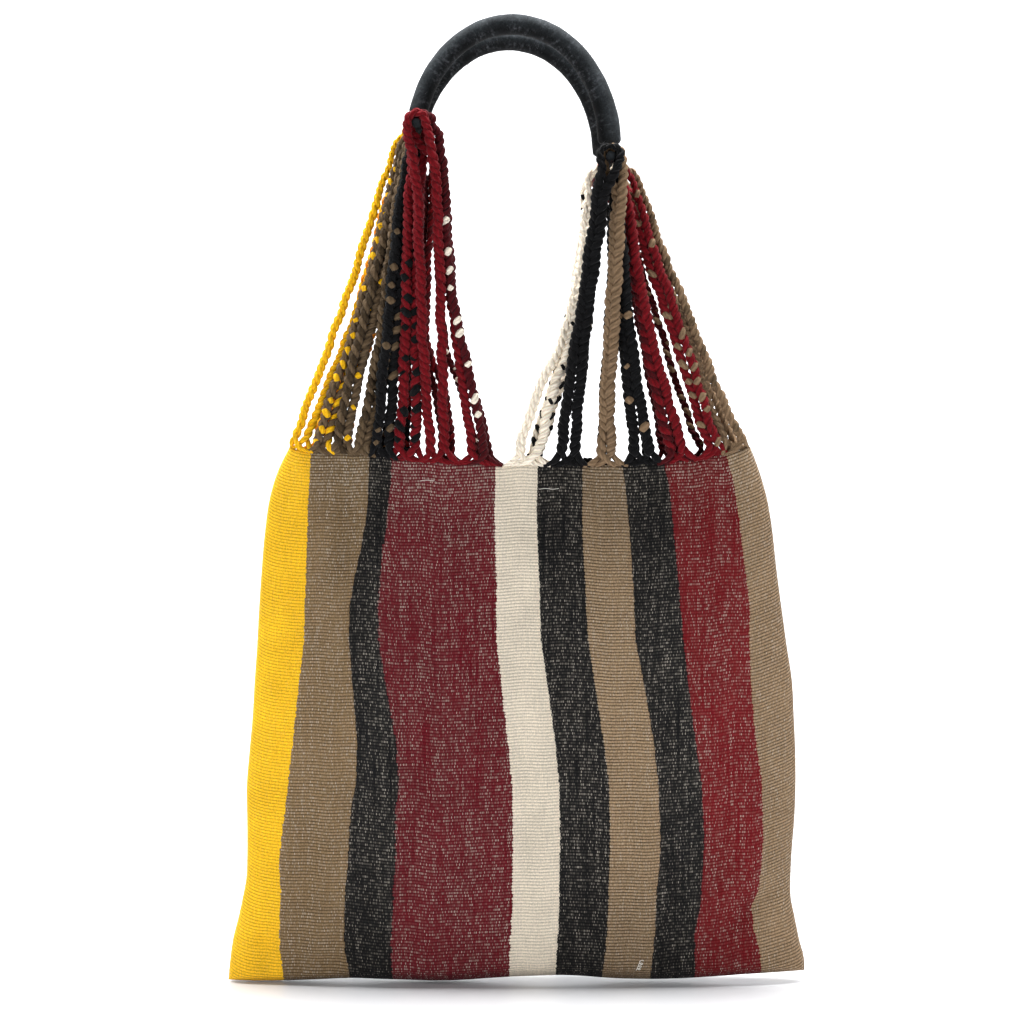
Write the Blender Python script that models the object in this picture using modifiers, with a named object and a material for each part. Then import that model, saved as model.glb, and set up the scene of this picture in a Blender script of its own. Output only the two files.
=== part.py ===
"""Hammock bag: a striped woven bag with twisted rope straps and two cloth-covered arch handles.

The bag hangs from the crowns of its handles. The origin is midway between the two handles, at the
underside of the front one's crown. X runs to the right as seen from the front, -Y is the front and
+Z is up. Sizes below are in millimetres, and the meshes are made in metres.
"""
import math

import bmesh
import bpy
import numpy as np
from mathutils import Matrix

MM = 0.001

# Handles: each is a tube along part of an upright ellipse
TUBE_RADIUS = 7.5
ARCH_HALF_WIDTH = 70.0
ARCH_RISE = 87.4
ARCH_CENTRE_Z = -80.0
HANDLE_Y = 22.0
ARCH_STEPS = 30
TUBE_RESOLUTION = 3
HANDLES = {
    # name: side, shift of the arch in x and z, height of the left and right ends
    "handle_front": dict(side=-1, shift_x=0.0, shift_z=0.0, left_z=-58.3, right_z=-78.5),
    "handle_back": dict(side=1, shift_x=-2.0, shift_z=-1.5, left_z=-60.0, right_z=-78.5),
}

# Crossbars at the handles' ends, which the ropes loop over
BAR_RADIUS = 3.2
NECK_RADIUS = 3.0
BAR_DROP = {"left": 8.3, "right": 11.5}
BAR_END_MARGIN = 0.8
NECK_INSET = 4.0
ROUND_SEGMENTS = 12
GAP = 0.3

# Ropes: two twisted legs side by side that join over a crossbar and at the cloth's edge
ROPE_RADIUS = 3.0
PINCHED_RADIUS = 1.9
PINCH_LENGTH = 60.0
ROPE_RESOLUTION = 1
LEVELS = 9
LEVEL_SPACING = 0.82
LOWEST_LEVEL = 14.0
HIGHEST_LEVEL = 8.5
MIDDLE_Z = (-262.0, -219.0, -154.0, -108.0)
LOOP_STEPS = 6
LOOP_CLEARANCE = 0.6
LOOP_SPREAD = 0.72
FIRST_FULL_SEAT = 3
LAST_SEAT = 4
MIN_HALF = 3.3
RIM_STEPS = 400
SETTLE_GAP = 0.42
SETTLE_ROUNDS = 14
SMOOTH_ROUNDS = 10
SETTLE_PUSHES = 12
SMOOTH_PUSHES = 2
SETTLE_REACH = 9.0
SIDE_GIVE = 0.45
SMOOTHING = 0.25
TINY = 1e-9
ROPE_COLUMNS = ("base", "low", "middle", "high", "top", "shoulder", "base_half", "middle_half",
                "top_half", "seat", "slot")
# A row for each pair of legs. The first six columns give the pair's middle in x at the cloth's edge,
# at the four heights of MIDDLE_Z and just under the crossbar. Then come half the distance between
# its legs at the edge, in the middle and under the crossbar, its seat on the crossbar, counted from
# the neck with the outward side positive, and its material.
ROPES_FRONT_LEFT = {
    "yellow": (-154.6, -143.2, -126.0, -103.4, -90.4, -78.5, 4.0, 5.6, 4.2, -4, "yellow"),
    "yellow_brown": (-138.4, -128.6, -113.0, -94.2, -84.6, -75.5, 3.3, 3.4, 4.0, -3, "brown"),
    "brown_left": (-123.0, -118.6, -107.6, -91.8, -81.5, -72.5, 3.4, 3.3, 4.0, -2, "brown"),
    "brown_right": (-108.2, -100.2, -92.4, -84.6, -78.0, -70.5, 3.4, 3.3, 4.0, -1, "brown"),
    "black": (-93.6, -91.0, -87.0, -81.0, -75.0, -68.5, 5.0, 3.6, 4.0, 1, "black"),
    "red_black": (-76.0, -73.8, -73.0, -71.5, -69.5, -66.5, 6.1, 3.8, 4.0, 2, "maroon"),
    "red": (-53.5, -55.5, -57.2, -59.0, -60.5, -66.0, 4.7, 7.0, 7.4, 4, "maroon"),
    "red_cream": (-23.6, -30.2, -38.4, -48.5, -50.5, -53.5, 4.4, 3.4, 4.2, 3, "maroon"),
}
ROPES_FRONT_RIGHT = {
    "cream": (10.6, 21.6, 39.5, 53.5, 56.0, 57.5, 8.2, 3.3, 3.6, -3, "cream"),
    "black_left": (40.0, 43.5, 49.0, 58.2, 64.8, 68.0, 5.0, 3.6, 4.2, 4, "black"),
    "tan": (68.0, 68.5, 71.0, 74.6, 76.8, 76.0, 4.2, 3.6, 4.2, 3, "tan"),
    "black_right": (94.5, 88.4, 82.5, 77.0, 73.0, 72.0, 5.6, 3.8, 3.6, 2, "black"),
    "red": (120.5, 108.6, 98.4, 86.0, 80.0, 76.5, 4.6, 3.4, 3.6, 1, "maroon"),
    "red_tan": (147.0, 134.8, 122.0, 98.8, 84.8, 80.5, 4.2, 3.3, 3.6, -1, "maroon"),
    "tan_outer": (162.0, 146.4, 132.2, 105.4, 89.8, 85.0, 6.6, 3.3, 3.6, -2, "tan"),
}
ROPES_BACK_LEFT = {
    "yellow": (-140.5, -133.5, -117.0, -99.5, -88.0, -76.5, 3.4, 3.3, 3.6, -2, "yellow"),
    "brown": (-124.5, -120.4, -108.6, -90.5, -82.0, -74.0, 3.4, 3.3, 3.6, -1, "brown"),
    "black_brown": (-98.0, -92.5, -85.6, -80.6, -77.0, -71.5, 3.4, 3.3, 3.6, 1, "black"),
    "red_black": (-74.5, -73.5, -72.6, -72.0, -71.5, -69.0, 3.6, 3.3, 3.6, 2, "maroon"),
    "red": (-48.0, -49.6, -66.0, -65.0, -64.0, -63.5, 3.6, 3.3, 4.2, 3, "maroon"),
    "red_cream": (-19.5, -30.0, -45.0, -50.5, -54.0, -58.5, 4.6, 4.9, 4.2, 4, "maroon"),
}
ROPES_BACK_RIGHT = {
    "cream_black": (15.5, 28.6, 41.5, 53.0, 57.0, 58.0, 3.6, 3.3, 3.6, -2, "cream"),
    "tan_black": (55.5, 58.0, 62.0, 67.0, 70.0, 69.5, 10.2, 7.2, 4.5, -1, "tan"),
    "black": (95.5, 91.0, 84.5, 77.0, 73.0, 71.0, 3.6, 3.3, 3.6, 1, "black"),
    "red": (117.5, 109.5, 100.6, 87.0, 80.5, 75.5, 5.9, 3.7, 3.6, 2, "maroon"),
    "red_tan": (143.0, 130.0, 117.5, 97.5, 86.5, 80.0, 4.8, 4.6, 4.2, 3, "maroon"),
    "tan": (161.0, 145.0, 131.5, 104.8, 91.0, 84.0, 3.8, 3.3, 4.2, 4, "tan"),
}

# Bag body: one woven cloth folded at the bottom and sewn up both sides
CLOTH = 1.5
COLUMNS = 34
ROWS = 19
BOTTOM_ANGLES = (25.0, 48.0, 69.0, 90.0)
BOTTOM_RISE = 16.0
SEAM_HALF = 2.3
FLATNESS = 2.6
SEAM_ROUNDNESS = 40
COLUMN_CROWDING = 0.45
FOLD_FADE = 0.625
FOLD_FADE_START = 0.06
JOIN_DISTANCE = 0.05
SIDE_EDGES = (
    # height, left edge, right edge
    (-295.5, -162.2, 173.8),
    (-312.0, -170.3, 179.9),
    (-332.0, -176.4, 185.7),
    (-356.0, -179.9, 189.7),
    (-384.5, -182.4, 192.8),
    (-412.5, -184.3, 196.5),
    (-441.0, -185.8, 200.4),
    (-465.0, -187.5, 204.0),
    (-491.5, -189.0, 205.4),
    (-517.0, -191.3, 206.5),
    (-542.0, -193.3, 206.7),
    (-567.5, -193.0, 205.7),
    (-592.5, -193.0, 203.7),
    (-609.0, -193.6, 203.0),
    (-623.0, -196.1, 203.1),
    (-637.0, -199.1, 205.9),
    (-653.5, -203.2, 209.2),
    (-667.5, -205.2, 212.8),
    (-684.0, -206.7, 212.8),
)
TOP_EDGE = (
    # place across the bag from -1 at the left seam to 1 at the right one, height
    (-1.00, -296.0),
    (-0.92, -298.5),
    (-0.66, -301.5),
    (-0.45, -305.5),
    (-0.20, -308.3),
    (0.05, -309.0),
    (0.40, -309.0),
    (0.62, -307.3),
    (0.81, -303.0),
    (0.92, -298.8),
    (1.00, -296.0),
)
BOTTOM_EDGE = (
    # place across the bag, height
    (-1.00, -683.3),
    (-0.90, -683.3),
    (-0.81, -682.0),
    (-0.69, -680.0),
    (-0.58, -679.0),
    (-0.43, -680.5),
    (-0.25, -680.0),
    (-0.02, -677.0),
    (0.15, -677.5),
    (0.38, -681.0),
    (0.58, -681.0),
    (0.73, -678.5),
    (1.00, -675.7),
)
HALF_DEPTH = (
    # height, half the bag's depth at its middle
    (-684.0, 19.0),
    (-640.0, 21.0),
    (-560.0, 21.0),
    (-450.0, 18.5),
    (-350.0, 15.5),
    (-296.0, 14.0),
)
FOLD_COLUMNS = ("x", "z", "angle", "length", "width", "lift")
# A row for each soft fold: its middle, its direction in degrees from level, half its length, half
# its width, and how far it lifts the cloth outward. A trough has a negative lift.
FRONT_FOLDS = (
    (-127.0, -380.0, 92.0, 85.0, 15.0, 2.2),
    (-107.0, -410.0, 97.0, 80.0, 14.0, -3.2),
    (-84.0, -470.0, 80.0, 80.0, 16.0, 2.4),
    (-46.0, -495.0, 62.0, 70.0, 18.0, -3.0),
    (-8.0, -440.0, 82.0, 90.0, 18.0, 2.2),
    (36.0, -430.0, 98.0, 90.0, 16.0, -2.0),
    (88.0, -500.0, 75.0, 80.0, 18.0, -2.6),
    (132.0, -520.0, 70.0, 60.0, 16.0, 3.0),
    (184.0, -621.0, 38.0, 30.0, 7.5, -6.5),
    (168.0, -606.0, 42.0, 32.0, 10.0, 2.6),
    (150.0, -585.0, 105.0, 40.0, 12.0, -2.2),
    (-176.0, -655.0, 82.0, 20.0, 8.5, -4.0),
    (-137.0, -668.0, 4.0, 24.0, 8.0, -4.5),
    (-150.0, -600.0, 98.0, 60.0, 14.0, -2.0),
    (-95.0, -600.0, 88.0, 70.0, 16.0, 2.0),
    (40.0, -610.0, 94.0, 60.0, 18.0, 1.8),
)
BACK_FOLDS = (
    (-110.0, -420.0, 95.0, 90.0, 18.0, -3.0),
    (-40.0, -500.0, 84.0, 90.0, 20.0, 2.4),
    (50.0, -450.0, 100.0, 95.0, 18.0, -2.6),
    (120.0, -540.0, 72.0, 70.0, 18.0, 2.6),
    (-150.0, -620.0, 60.0, 36.0, 11.0, -3.4),
    (10.0, -620.0, 92.0, 60.0, 18.0, -2.2),
)

COLOURS = {
    # slot: colour, roughness
    "striped_cloth": ((0.19, 0.02, 0.03), 0.9),
    "handle_cloth": ((0.016, 0.020, 0.022), 0.92),
    "yellow": ((0.93, 0.54, 0.02), 0.85),
    "brown": ((0.20, 0.14, 0.09), 0.88),
    "black": ((0.012, 0.012, 0.014), 0.9),
    "maroon": ((0.17, 0.012, 0.022), 0.88),
    "cream": ((0.71, 0.62, 0.46), 0.88),
    "tan": ((0.28, 0.20, 0.12), 0.88),
}


def clear_scene():
    for obj in list(bpy.data.objects):
        bpy.data.objects.remove(obj, do_unlink=True)


def new_collection(name):
    collection = bpy.data.collections.new(name)
    bpy.context.scene.collection.children.link(collection)
    return collection


def make_material(slot):
    colour, roughness = COLOURS[slot]
    material = bpy.data.materials.new(slot)
    material.use_nodes = True
    shader = material.node_tree.nodes["Principled BSDF"]
    shader.inputs["Base Color"].default_value = (*colour, 1.0)
    shader.inputs["Roughness"].default_value = roughness
    shader.inputs["Metallic"].default_value = 0.0
    return material


def add_object(name, data, slot):
    """Put mesh or curve data in the scene, with a material unless it brings its own."""
    obj = bpy.data.objects.new(name, data)
    if slot:
        obj.data.materials.append(MATERIALS[slot])
    PARTS.objects.link(obj)
    return obj


def add_cutter(name, data):
    """A hidden object that a Boolean uses."""
    obj = bpy.data.objects.new(name, data)
    CUTTERS.objects.link(obj)
    obj.hide_render = True
    obj.display_type = "WIRE"
    return obj


def smooth_curve(table, column, at):
    """Read one column of a table as a smooth curve: cubic pieces whose slopes join at the rows."""
    rows = np.array(sorted(table))
    knots = rows[:, 0]
    values = rows[:, column]
    slopes = np.gradient(values, knots)
    at = np.clip(at, knots[0], knots[-1])
    i = np.clip(np.searchsorted(knots, at) - 1, 0, len(knots) - 2)
    span = knots[i + 1] - knots[i]
    t = (at - knots[i]) / span
    start = (2 * t**3 - 3 * t**2 + 1) * values[i] + (t**3 - 2 * t**2 + t) * span * slopes[i]
    end = (3 * t**2 - 2 * t**3) * values[i + 1] + (t**3 - t**2) * span * slopes[i + 1]
    return start + end


def fold_lift(folds, x, z):
    """Sum the soft folds: each is a ridge or trough that fades along and across its direction."""
    total = np.zeros_like(x)
    for row in folds:
        fold = dict(zip(FOLD_COLUMNS, row))
        angle = math.radians(fold["angle"])
        dx = x - fold["x"]
        dz = z - fold["z"]
        along = dx * math.cos(angle) + dz * math.sin(angle)
        across = dz * math.cos(angle) - dx * math.sin(angle)
        total += fold["lift"] * np.exp(-((along / fold["length"]) ** 2) - (across / fold["width"]) ** 2)
    return total


def section_depth(place):
    """Half depth of a level section as a share of the middle's: flat in front, round at the seams."""
    return np.sqrt(np.clip(1.0 - np.abs(place) ** FLATNESS, 0.0, 1.0))


def panel_points(place, drop, angle, side):
    """Points of one panel. place runs from seam to seam, drop from the top edge to the start of the
    bottom's bend, angle round that bend, and side is -1 for the front and 1 for the back."""
    share = section_depth(place)
    bend = SEAM_HALF + (BOTTOM_RISE - SEAM_HALF) * share
    bottom = smooth_curve(BOTTOM_EDGE, 1, place)
    top = smooth_curve(TOP_EDGE, 1, place)
    height = top + (bottom + bend - top) * drop - bend * np.sin(angle)
    left = smooth_curve(SIDE_EDGES, 1, height)
    right = smooth_curve(SIDE_EDGES, 2, height)
    x = 0.5 * (left + right) + 0.5 * (right - left) * place
    depth = smooth_curve(HALF_DEPTH, 1, height) * share
    folds = FRONT_FOLDS if side < 0 else BACK_FOLDS
    fade = np.clip((share - FOLD_FADE_START) / FOLD_FADE, 0.0, 1.0)
    depth = depth + fold_lift(folds, x, height) * fade
    seam = SEAM_HALF * np.sqrt(np.clip(1.0 - np.abs(place) ** SEAM_ROUNDNESS, 0.0, 1.0))
    depth = np.maximum(depth, 0.0) + seam
    y = side * depth * np.cos(angle)
    return np.stack([x, y, height], axis=-1)


def panel_grid(columns, rows):
    """The places, drops and bend angles of a panel's rows of points, from the top edge down."""
    turn = np.linspace(-1.0, 1.0, columns + 1)
    place = COLUMN_CROWDING * np.sin(turn * math.pi / 2) + (1.0 - COLUMN_CROWDING) * turn
    drop = np.concatenate([np.linspace(0.0, 1.0, rows), np.ones(len(BOTTOM_ANGLES))])
    angle = np.concatenate([np.zeros(rows), np.radians(BOTTOM_ANGLES)])
    shape = (len(drop), len(place))
    return (np.broadcast_to(place, shape), np.broadcast_to(drop[:, None], shape),
            np.broadcast_to(angle[:, None], shape))


def make_body():
    """The bag's cloth: front and back panels that share their seams and the fold at the bottom."""
    place, drop, angle = panel_grid(COLUMNS, ROWS)
    mesh = bmesh.new()
    walls = []
    for side in (-1, 1):
        points = panel_points(place, drop, angle, side) * MM
        walls.append([[mesh.verts.new(point) for point in row] for row in points])
    for side, wall in zip((-1, 1), walls):
        for upper, lower in zip(wall[:-1], wall[1:]):
            for i in range(COLUMNS):
                corners = [upper[i], lower[i], lower[i + 1], upper[i + 1]]
                mesh.faces.new(corners if side < 0 else corners[::-1])
    bmesh.ops.remove_doubles(mesh, verts=mesh.verts, dist=JOIN_DISTANCE * MM)
    data = bpy.data.meshes.new("bag_body")
    mesh.to_mesh(data)
    mesh.free()
    data.shade_smooth()
    body = add_object("bag_body", data, "striped_cloth")
    wall = body.modifiers.new("cloth thickness", "SOLIDIFY")
    wall.thickness = CLOTH * MM
    wall.offset = -1.0
    wall.use_even_offset = True


def arch_points(handle):
    """Centre line of a handle's tube, from its left end over the crown to its right end."""
    left = math.pi - math.asin((handle["left_z"] - ARCH_CENTRE_Z) / ARCH_RISE)
    right = math.asin((handle["right_z"] - ARCH_CENTRE_Z) / ARCH_RISE)
    turn = np.linspace(left, right, ARCH_STEPS + 1)
    x = handle["shift_x"] + ARCH_HALF_WIDTH * np.cos(turn)
    z = handle["shift_z"] + ARCH_CENTRE_Z + ARCH_RISE * np.sin(turn)
    return np.stack([x, np.full_like(x, handle["side"] * HANDLE_Y), z], axis=-1)


def add_tube(name, points, radii, resolution, cyclic, slot):
    """A round tube along the points, with its own radius at each."""
    curve = bpy.data.curves.new(name, "CURVE")
    curve.dimensions = "3D"
    curve.bevel_depth = MM
    curve.bevel_resolution = resolution
    curve.use_fill_caps = not cyclic
    spline = curve.splines.new("POLY")
    spline.points.add(len(points) - 1)
    for slot_point, point, radius in zip(spline.points, points, radii):
        slot_point.co = (*(point * MM), 1.0)
        slot_point.radius = radius
    spline.use_cyclic_u = cyclic
    return add_object(name, curve, slot)


def add_cylinder(mesh, radius, start, end):
    """Add a closed cylinder between two points, along Y or along Z, to a bmesh."""
    span = np.subtract(end, start)
    middle = np.add(start, end) * 0.5 * MM
    turn = Matrix.Rotation(math.pi / 2, 4, "X") if abs(span[1]) > abs(span[2]) else Matrix.Identity(4)
    bmesh.ops.create_cone(mesh, cap_ends=True, segments=ROUND_SEGMENTS, radius1=radius * MM,
                          radius2=radius * MM, depth=float(np.linalg.norm(span)) * MM,
                          matrix=Matrix.Translation(middle) @ turn)


def seat_radius(seat):
    """A rope's radius where it passes over the crossbar: only the outermost ones keep their own."""
    return ROPE_RADIUS if seat >= FIRST_FULL_SEAT else PINCHED_RADIUS


def seat_y(seat):
    """Place of a seat along the crossbar, measured from the neck outward from the bag's middle."""
    side = 1 if seat > 0 else -1
    widths = sum(2 * seat_radius(side * step) + GAP for step in range(1, abs(seat) + 1))
    return side * (NECK_RADIUS + widths - seat_radius(seat))


def bar_middle(name, end):
    """Middle of the crossbar at one end of a handle."""
    tip = arch_points(HANDLES[name])[0 if end == "left" else -1]
    return tip - np.array([0.0, 0.0, BAR_DROP[end]])


def bar_span(name, end):
    """Both ends of a crossbar and the top of its neck."""
    side = HANDLES[name]["side"]
    middle = bar_middle(name, end)
    first_seat = min(row[ROPE_COLUMNS.index("seat")] for row in ROPES[(name, end)].values())
    outer = seat_y(LAST_SEAT) + ROPE_RADIUS + BAR_END_MARGIN
    inner = seat_y(first_seat) - PINCHED_RADIUS - BAR_END_MARGIN
    ends = [middle + np.array([0.0, side * reach, 0.0]) for reach in (inner, outer)]
    return ends[0], ends[1], middle + np.array([0.0, 0.0, BAR_DROP[end] + NECK_INSET])


def apply_union(target, tool):
    """Join a mesh object into another with an exact Boolean, and keep the tool as a hidden cutter."""
    joint = target.modifiers.new("join", "BOOLEAN")
    joint.operation = "UNION"
    joint.solver = "EXACT"
    joint.object = tool


def make_handle(name):
    """A cloth-covered arch whose cover runs on past each end as a crossbar on a short neck."""
    points = arch_points(HANDLES[name])
    curve = add_tube(name + "_line", points, [TUBE_RADIUS] * len(points), TUBE_RESOLUTION, False,
                     "handle_cloth")
    depsgraph = bpy.context.evaluated_depsgraph_get()
    data = bpy.data.meshes.new_from_object(curve.evaluated_get(depsgraph))
    bpy.data.objects.remove(curve, do_unlink=True)
    weld_caps(data)
    data.name = name
    data.shade_smooth()
    handle = add_object(name, data, None)
    for end in ("left", "right"):
        first, last, neck_top = bar_span(name, end)
        bar = bmesh.new()
        add_cylinder(bar, BAR_RADIUS, first, last)
        neck = bmesh.new()
        add_cylinder(neck, NECK_RADIUS, bar_middle(name, end), neck_top)
        for label, piece in (("neck", neck), ("bar", bar)):
            mesh = bpy.data.meshes.new(f"{name}_{end}_{label}")
            piece.to_mesh(mesh)
            piece.free()
            apply_union(handle, add_cutter(mesh.name, mesh))


def weld_caps(data):
    """Join the doubled points where a tube's caps meet its wall."""
    mesh = bmesh.new()
    mesh.from_mesh(data)
    bmesh.ops.remove_doubles(mesh, verts=mesh.verts, dist=JOIN_DISTANCE * MM)
    mesh.to_mesh(data)
    mesh.free()


def rim(side):
    """The top edge of one panel, in the middle of its cloth: x, y and z in order of x."""
    place = np.linspace(-1.0, 1.0, RIM_STEPS)
    zero = np.zeros_like(place)
    points = panel_points(place, zero, zero, side)
    points[:, 1] -= side * CLOTH / 2
    return points


def rope_points(row, name, end):
    """Closed centre line of a pair of legs with its radii and its marks: -1 for the left leg, 1 for
    the right one, 0 for the loop over the crossbar and the run along the cloth's edge."""
    rope = dict(zip(ROPE_COLUMNS, row))
    side = HANDLES[name]["side"]
    top_radius = seat_radius(rope["seat"])
    grip = BAR_RADIUS + top_radius + LOOP_CLEARANCE
    seat = bar_middle(name, end) + np.array([0.0, side * seat_y(rope["seat"]), 0.0])
    edge = rim(side)
    under = edge[np.abs(edge[:, 0] - rope["base"]) < rope["base_half"] + ROPE_RADIUS]
    base_z = under[:, 2].max() + GAP + ROPE_RADIUS
    base_y = np.interp(rope["base"], edge[:, 0], edge[:, 1])
    low = base_z + LOWEST_LEVEL
    high = seat[2] - HIGHEST_LEVEL
    z = low + (high - low) * np.linspace(0.0, 1.0, LEVELS) ** LEVEL_SPACING
    middle = np.interp(z, [base_z, *MIDDLE_Z, high], row[:ROPE_COLUMNS.index("base_half")])
    half = np.interp(z, [base_z, MIDDLE_Z[1], MIDDLE_Z[-1], high],
                     [max(rope["base_half"], MIN_HALF), rope["middle_half"], rope["middle_half"],
                      rope["top_half"]])
    y = np.interp(z, [base_z, seat[2]], [base_y, seat[1]])
    turn = np.linspace(math.pi, 0.0, LOOP_STEPS + 1)
    loop = seat + grip * np.stack([np.cos(turn), np.zeros_like(turn), np.sin(turn)], axis=-1)
    left = np.stack([middle - half, y, z], axis=-1)
    right = np.stack([middle + half, y, z], axis=-1)
    left[-1, 0] = min(left[-1, 0], seat[0] - LOOP_SPREAD * grip)
    right[-1, 0] = max(right[-1, 0], seat[0] + LOOP_SPREAD * grip)
    run = [[rope["base"] + turn_side * rope["base_half"], base_y, base_z] for turn_side in (-1, 1)]
    points = np.concatenate([run[:1], left, loop, right[::-1], run[1:]])
    pinch = np.clip((seat[2] - points[:, 2]) / PINCH_LENGTH, 0.0, 1.0)
    radii = top_radius + (ROPE_RADIUS - top_radius) * pinch
    marks = np.repeat([-1, 0, 1, 0], [LEVELS + 1, LOOP_STEPS, LEVELS + 1, 1])
    free = np.repeat([0, 1, 0, 1, 0], [1, LEVELS, LOOP_STEPS + 1, LEVELS, 1])
    return points, radii, marks, free


def closest_shares(start_a, span_a, start_b, span_b):
    """How far along each of two straight segments their closest points lie, from 0 to 1."""
    gap = start_a - start_b
    aa = (span_a * span_a).sum(1)
    bb = (span_b * span_b).sum(1)
    ab = (span_a * span_b).sum(1)
    ag = (span_a * gap).sum(1)
    bg = (span_b * gap).sum(1)
    share_a = np.clip((ab * bg - ag * bb) / np.maximum(aa * bb - ab * ab, TINY), 0.0, 1.0)
    share_b = np.clip((ab * share_a + bg) / bb, 0.0, 1.0)
    share_a = np.clip((ab * share_b - ag) / aa, 0.0, 1.0)
    return share_a, share_b


def segment_gaps(points, radii, first, second, a, b):
    """Free distance between each segment of a and that of b, its direction and the closest shares."""
    share_a, share_b = closest_shares(points[first[a]], points[second[a]] - points[first[a]],
                                      points[first[b]], points[second[b]] - points[first[b]])
    near_a = points[first[a]] + share_a[:, None] * (points[second[a]] - points[first[a]])
    near_b = points[first[b]] + share_b[:, None] * (points[second[b]] - points[first[b]])
    away = near_a - near_b
    distance = np.linalg.norm(away, axis=1)
    thick_a = radii[first[a]] + share_a * (radii[second[a]] - radii[first[a]])
    thick_b = radii[first[b]] + share_b * (radii[second[b]] - radii[first[b]])
    return distance - thick_a - thick_b, away / distance[:, None], share_a, share_b


def push_apart(points, radii, first, second, a, b):
    """How far each point should move sideways for the too close segments of a and b to part."""
    gaps, away, share_a, share_b = segment_gaps(points, radii, first, second, a, b)
    need = np.maximum(SETTLE_GAP - gaps, 0.0)[:, None] * away
    need *= np.array([SIDE_GIVE, 1.0, 0.0])
    move = np.zeros_like(points)
    weight = np.full(len(points), TINY)
    for ends, share, sign in ((first[a], 1 - share_a, 1), (second[a], share_a, 1),
                              (first[b], 1 - share_b, -1), (second[b], share_b, -1)):
        np.add.at(move, ends, sign * share[:, None] * need)
        np.add.at(weight, ends, share * (gaps < SETTLE_GAP))
    return move / np.maximum(weight, 1.0)[:, None]


def settle(points, radii, free, first, second, owner, marks):
    """Push the free points of all lines apart in level planes until the lines stand clear, and keep
    their moves even along each line."""
    start = points.copy()
    points = points.copy()
    a, b = np.triu_indices(len(first), 1)
    keep = (owner[a] != owner[b]) | (marks[a] * marks[b] < 0)
    a, b = a[keep], b[keep]
    inner = np.flatnonzero(free > 0)
    for turn in range(SETTLE_ROUNDS):
        near = segment_gaps(points, radii, first, second, a, b)[0] < SETTLE_REACH
        for push in range(SETTLE_PUSHES):
            points += free[:, None] * push_apart(points, radii, first, second, a[near], b[near])
            if turn < SMOOTH_ROUNDS and push < SMOOTH_PUSHES:
                moved = points - start
                points[inner] += SMOOTHING * ((moved[inner - 1] + moved[inner + 1]) / 2 - moved[inner])
    return points


def handle_lines(name):
    """The lines that the ropes keep clear of: the tube, and the bar and neck at each of its ends."""
    lines = [(arch_points(HANDLES[name]), TUBE_RADIUS)]
    for end in ("left", "right"):
        first, last, neck_top = bar_span(name, end)
        lines.append((np.array([first, last]), BAR_RADIUS))
        lines.append((np.array([bar_middle(name, end), neck_top]), NECK_RADIUS))
    return lines


def settled_ropes():
    """Name, material, centre line and radii of each pair of legs, all clear of one another."""
    columns = ("points", "radii", "marks", "free", "first", "second", "owner")
    rows = []
    ropes = []
    count = 0
    for (handle, end), table in ROPES.items():
        for label, row in table.items():
            points, radii, marks, free = rope_points(row, handle, end)
            index = np.arange(count, count + len(points))
            rows.append((points, radii, marks, free, index, np.roll(index, -1),
                         np.full(len(index), len(ropes))))
            ropes.append((f"{handle.replace('handle', 'rope')}_{end}_{label}", row[-1], index))
            count += len(points)
    for handle in HANDLES:
        for line, radius in handle_lines(handle):
            index = np.arange(count, count + len(line))
            none = np.zeros(len(line))
            rows.append((line, none + radius, none[1:], none, index[:-1], index[1:], none[1:] - 1))
            count += len(line)
    lines = {name: np.concatenate(values) for name, values in zip(columns, zip(*rows))}
    points = settle(**lines)
    return [(name, slot, points[index], lines["radii"][index]) for name, slot, index in ropes]


def make_ropes():
    for name, slot, points, radii in settled_ropes():
        add_tube(name, points, radii, ROPE_RESOLUTION, True, slot)


ROPES = {
    ("handle_front", "left"): ROPES_FRONT_LEFT,
    ("handle_front", "right"): ROPES_FRONT_RIGHT,
    ("handle_back", "left"): ROPES_BACK_LEFT,
    ("handle_back", "right"): ROPES_BACK_RIGHT,
}

clear_scene()
PARTS = new_collection("hammock_bag")
CUTTERS = new_collection("cutters")
CUTTERS.hide_render = True
MATERIALS = {slot: make_material(slot) for slot in COLOURS}
make_body()
for handle_name in HANDLES:
    make_handle(handle_name)
make_ropes()
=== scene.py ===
"""The looks of a striped, hand-woven hammock bag with twisted rope straps and two arch handles.

Sizes are in millimetres and become metres in the meshes. X runs to the right as seen from the front,
-Y is the front and +Z is up, as in the CAD model. The cloth, the handles and each pair of ropes
replace their CAD nodes and keep their places.
"""
import math

import bpy
import numpy as np
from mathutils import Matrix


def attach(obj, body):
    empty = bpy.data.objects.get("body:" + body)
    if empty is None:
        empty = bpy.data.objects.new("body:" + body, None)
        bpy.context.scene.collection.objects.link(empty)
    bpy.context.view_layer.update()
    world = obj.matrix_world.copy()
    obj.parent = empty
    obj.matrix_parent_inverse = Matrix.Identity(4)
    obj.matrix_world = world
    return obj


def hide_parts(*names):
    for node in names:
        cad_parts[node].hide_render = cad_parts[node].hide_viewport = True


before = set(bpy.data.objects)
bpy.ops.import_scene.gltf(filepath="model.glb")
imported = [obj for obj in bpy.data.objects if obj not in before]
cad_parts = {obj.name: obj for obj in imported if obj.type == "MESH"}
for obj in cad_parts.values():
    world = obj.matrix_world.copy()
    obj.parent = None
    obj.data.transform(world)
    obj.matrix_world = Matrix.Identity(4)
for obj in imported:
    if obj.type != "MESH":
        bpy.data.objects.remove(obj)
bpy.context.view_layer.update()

MM = 0.001
TINY = 1e-9
X_AXIS, Y_AXIS, Z_AXIS = np.eye(3)
DICE = np.random.default_rng(27)

# Camera: level with the middle of the photograph, 1.5 m in front of the bag's front
CAMERA_HEIGHT = -342.7
CAMERA_DISTANCE = 1518.0
CAMERA_ANGLE = 2 * math.atan(368.64 / 1500.0)

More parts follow.
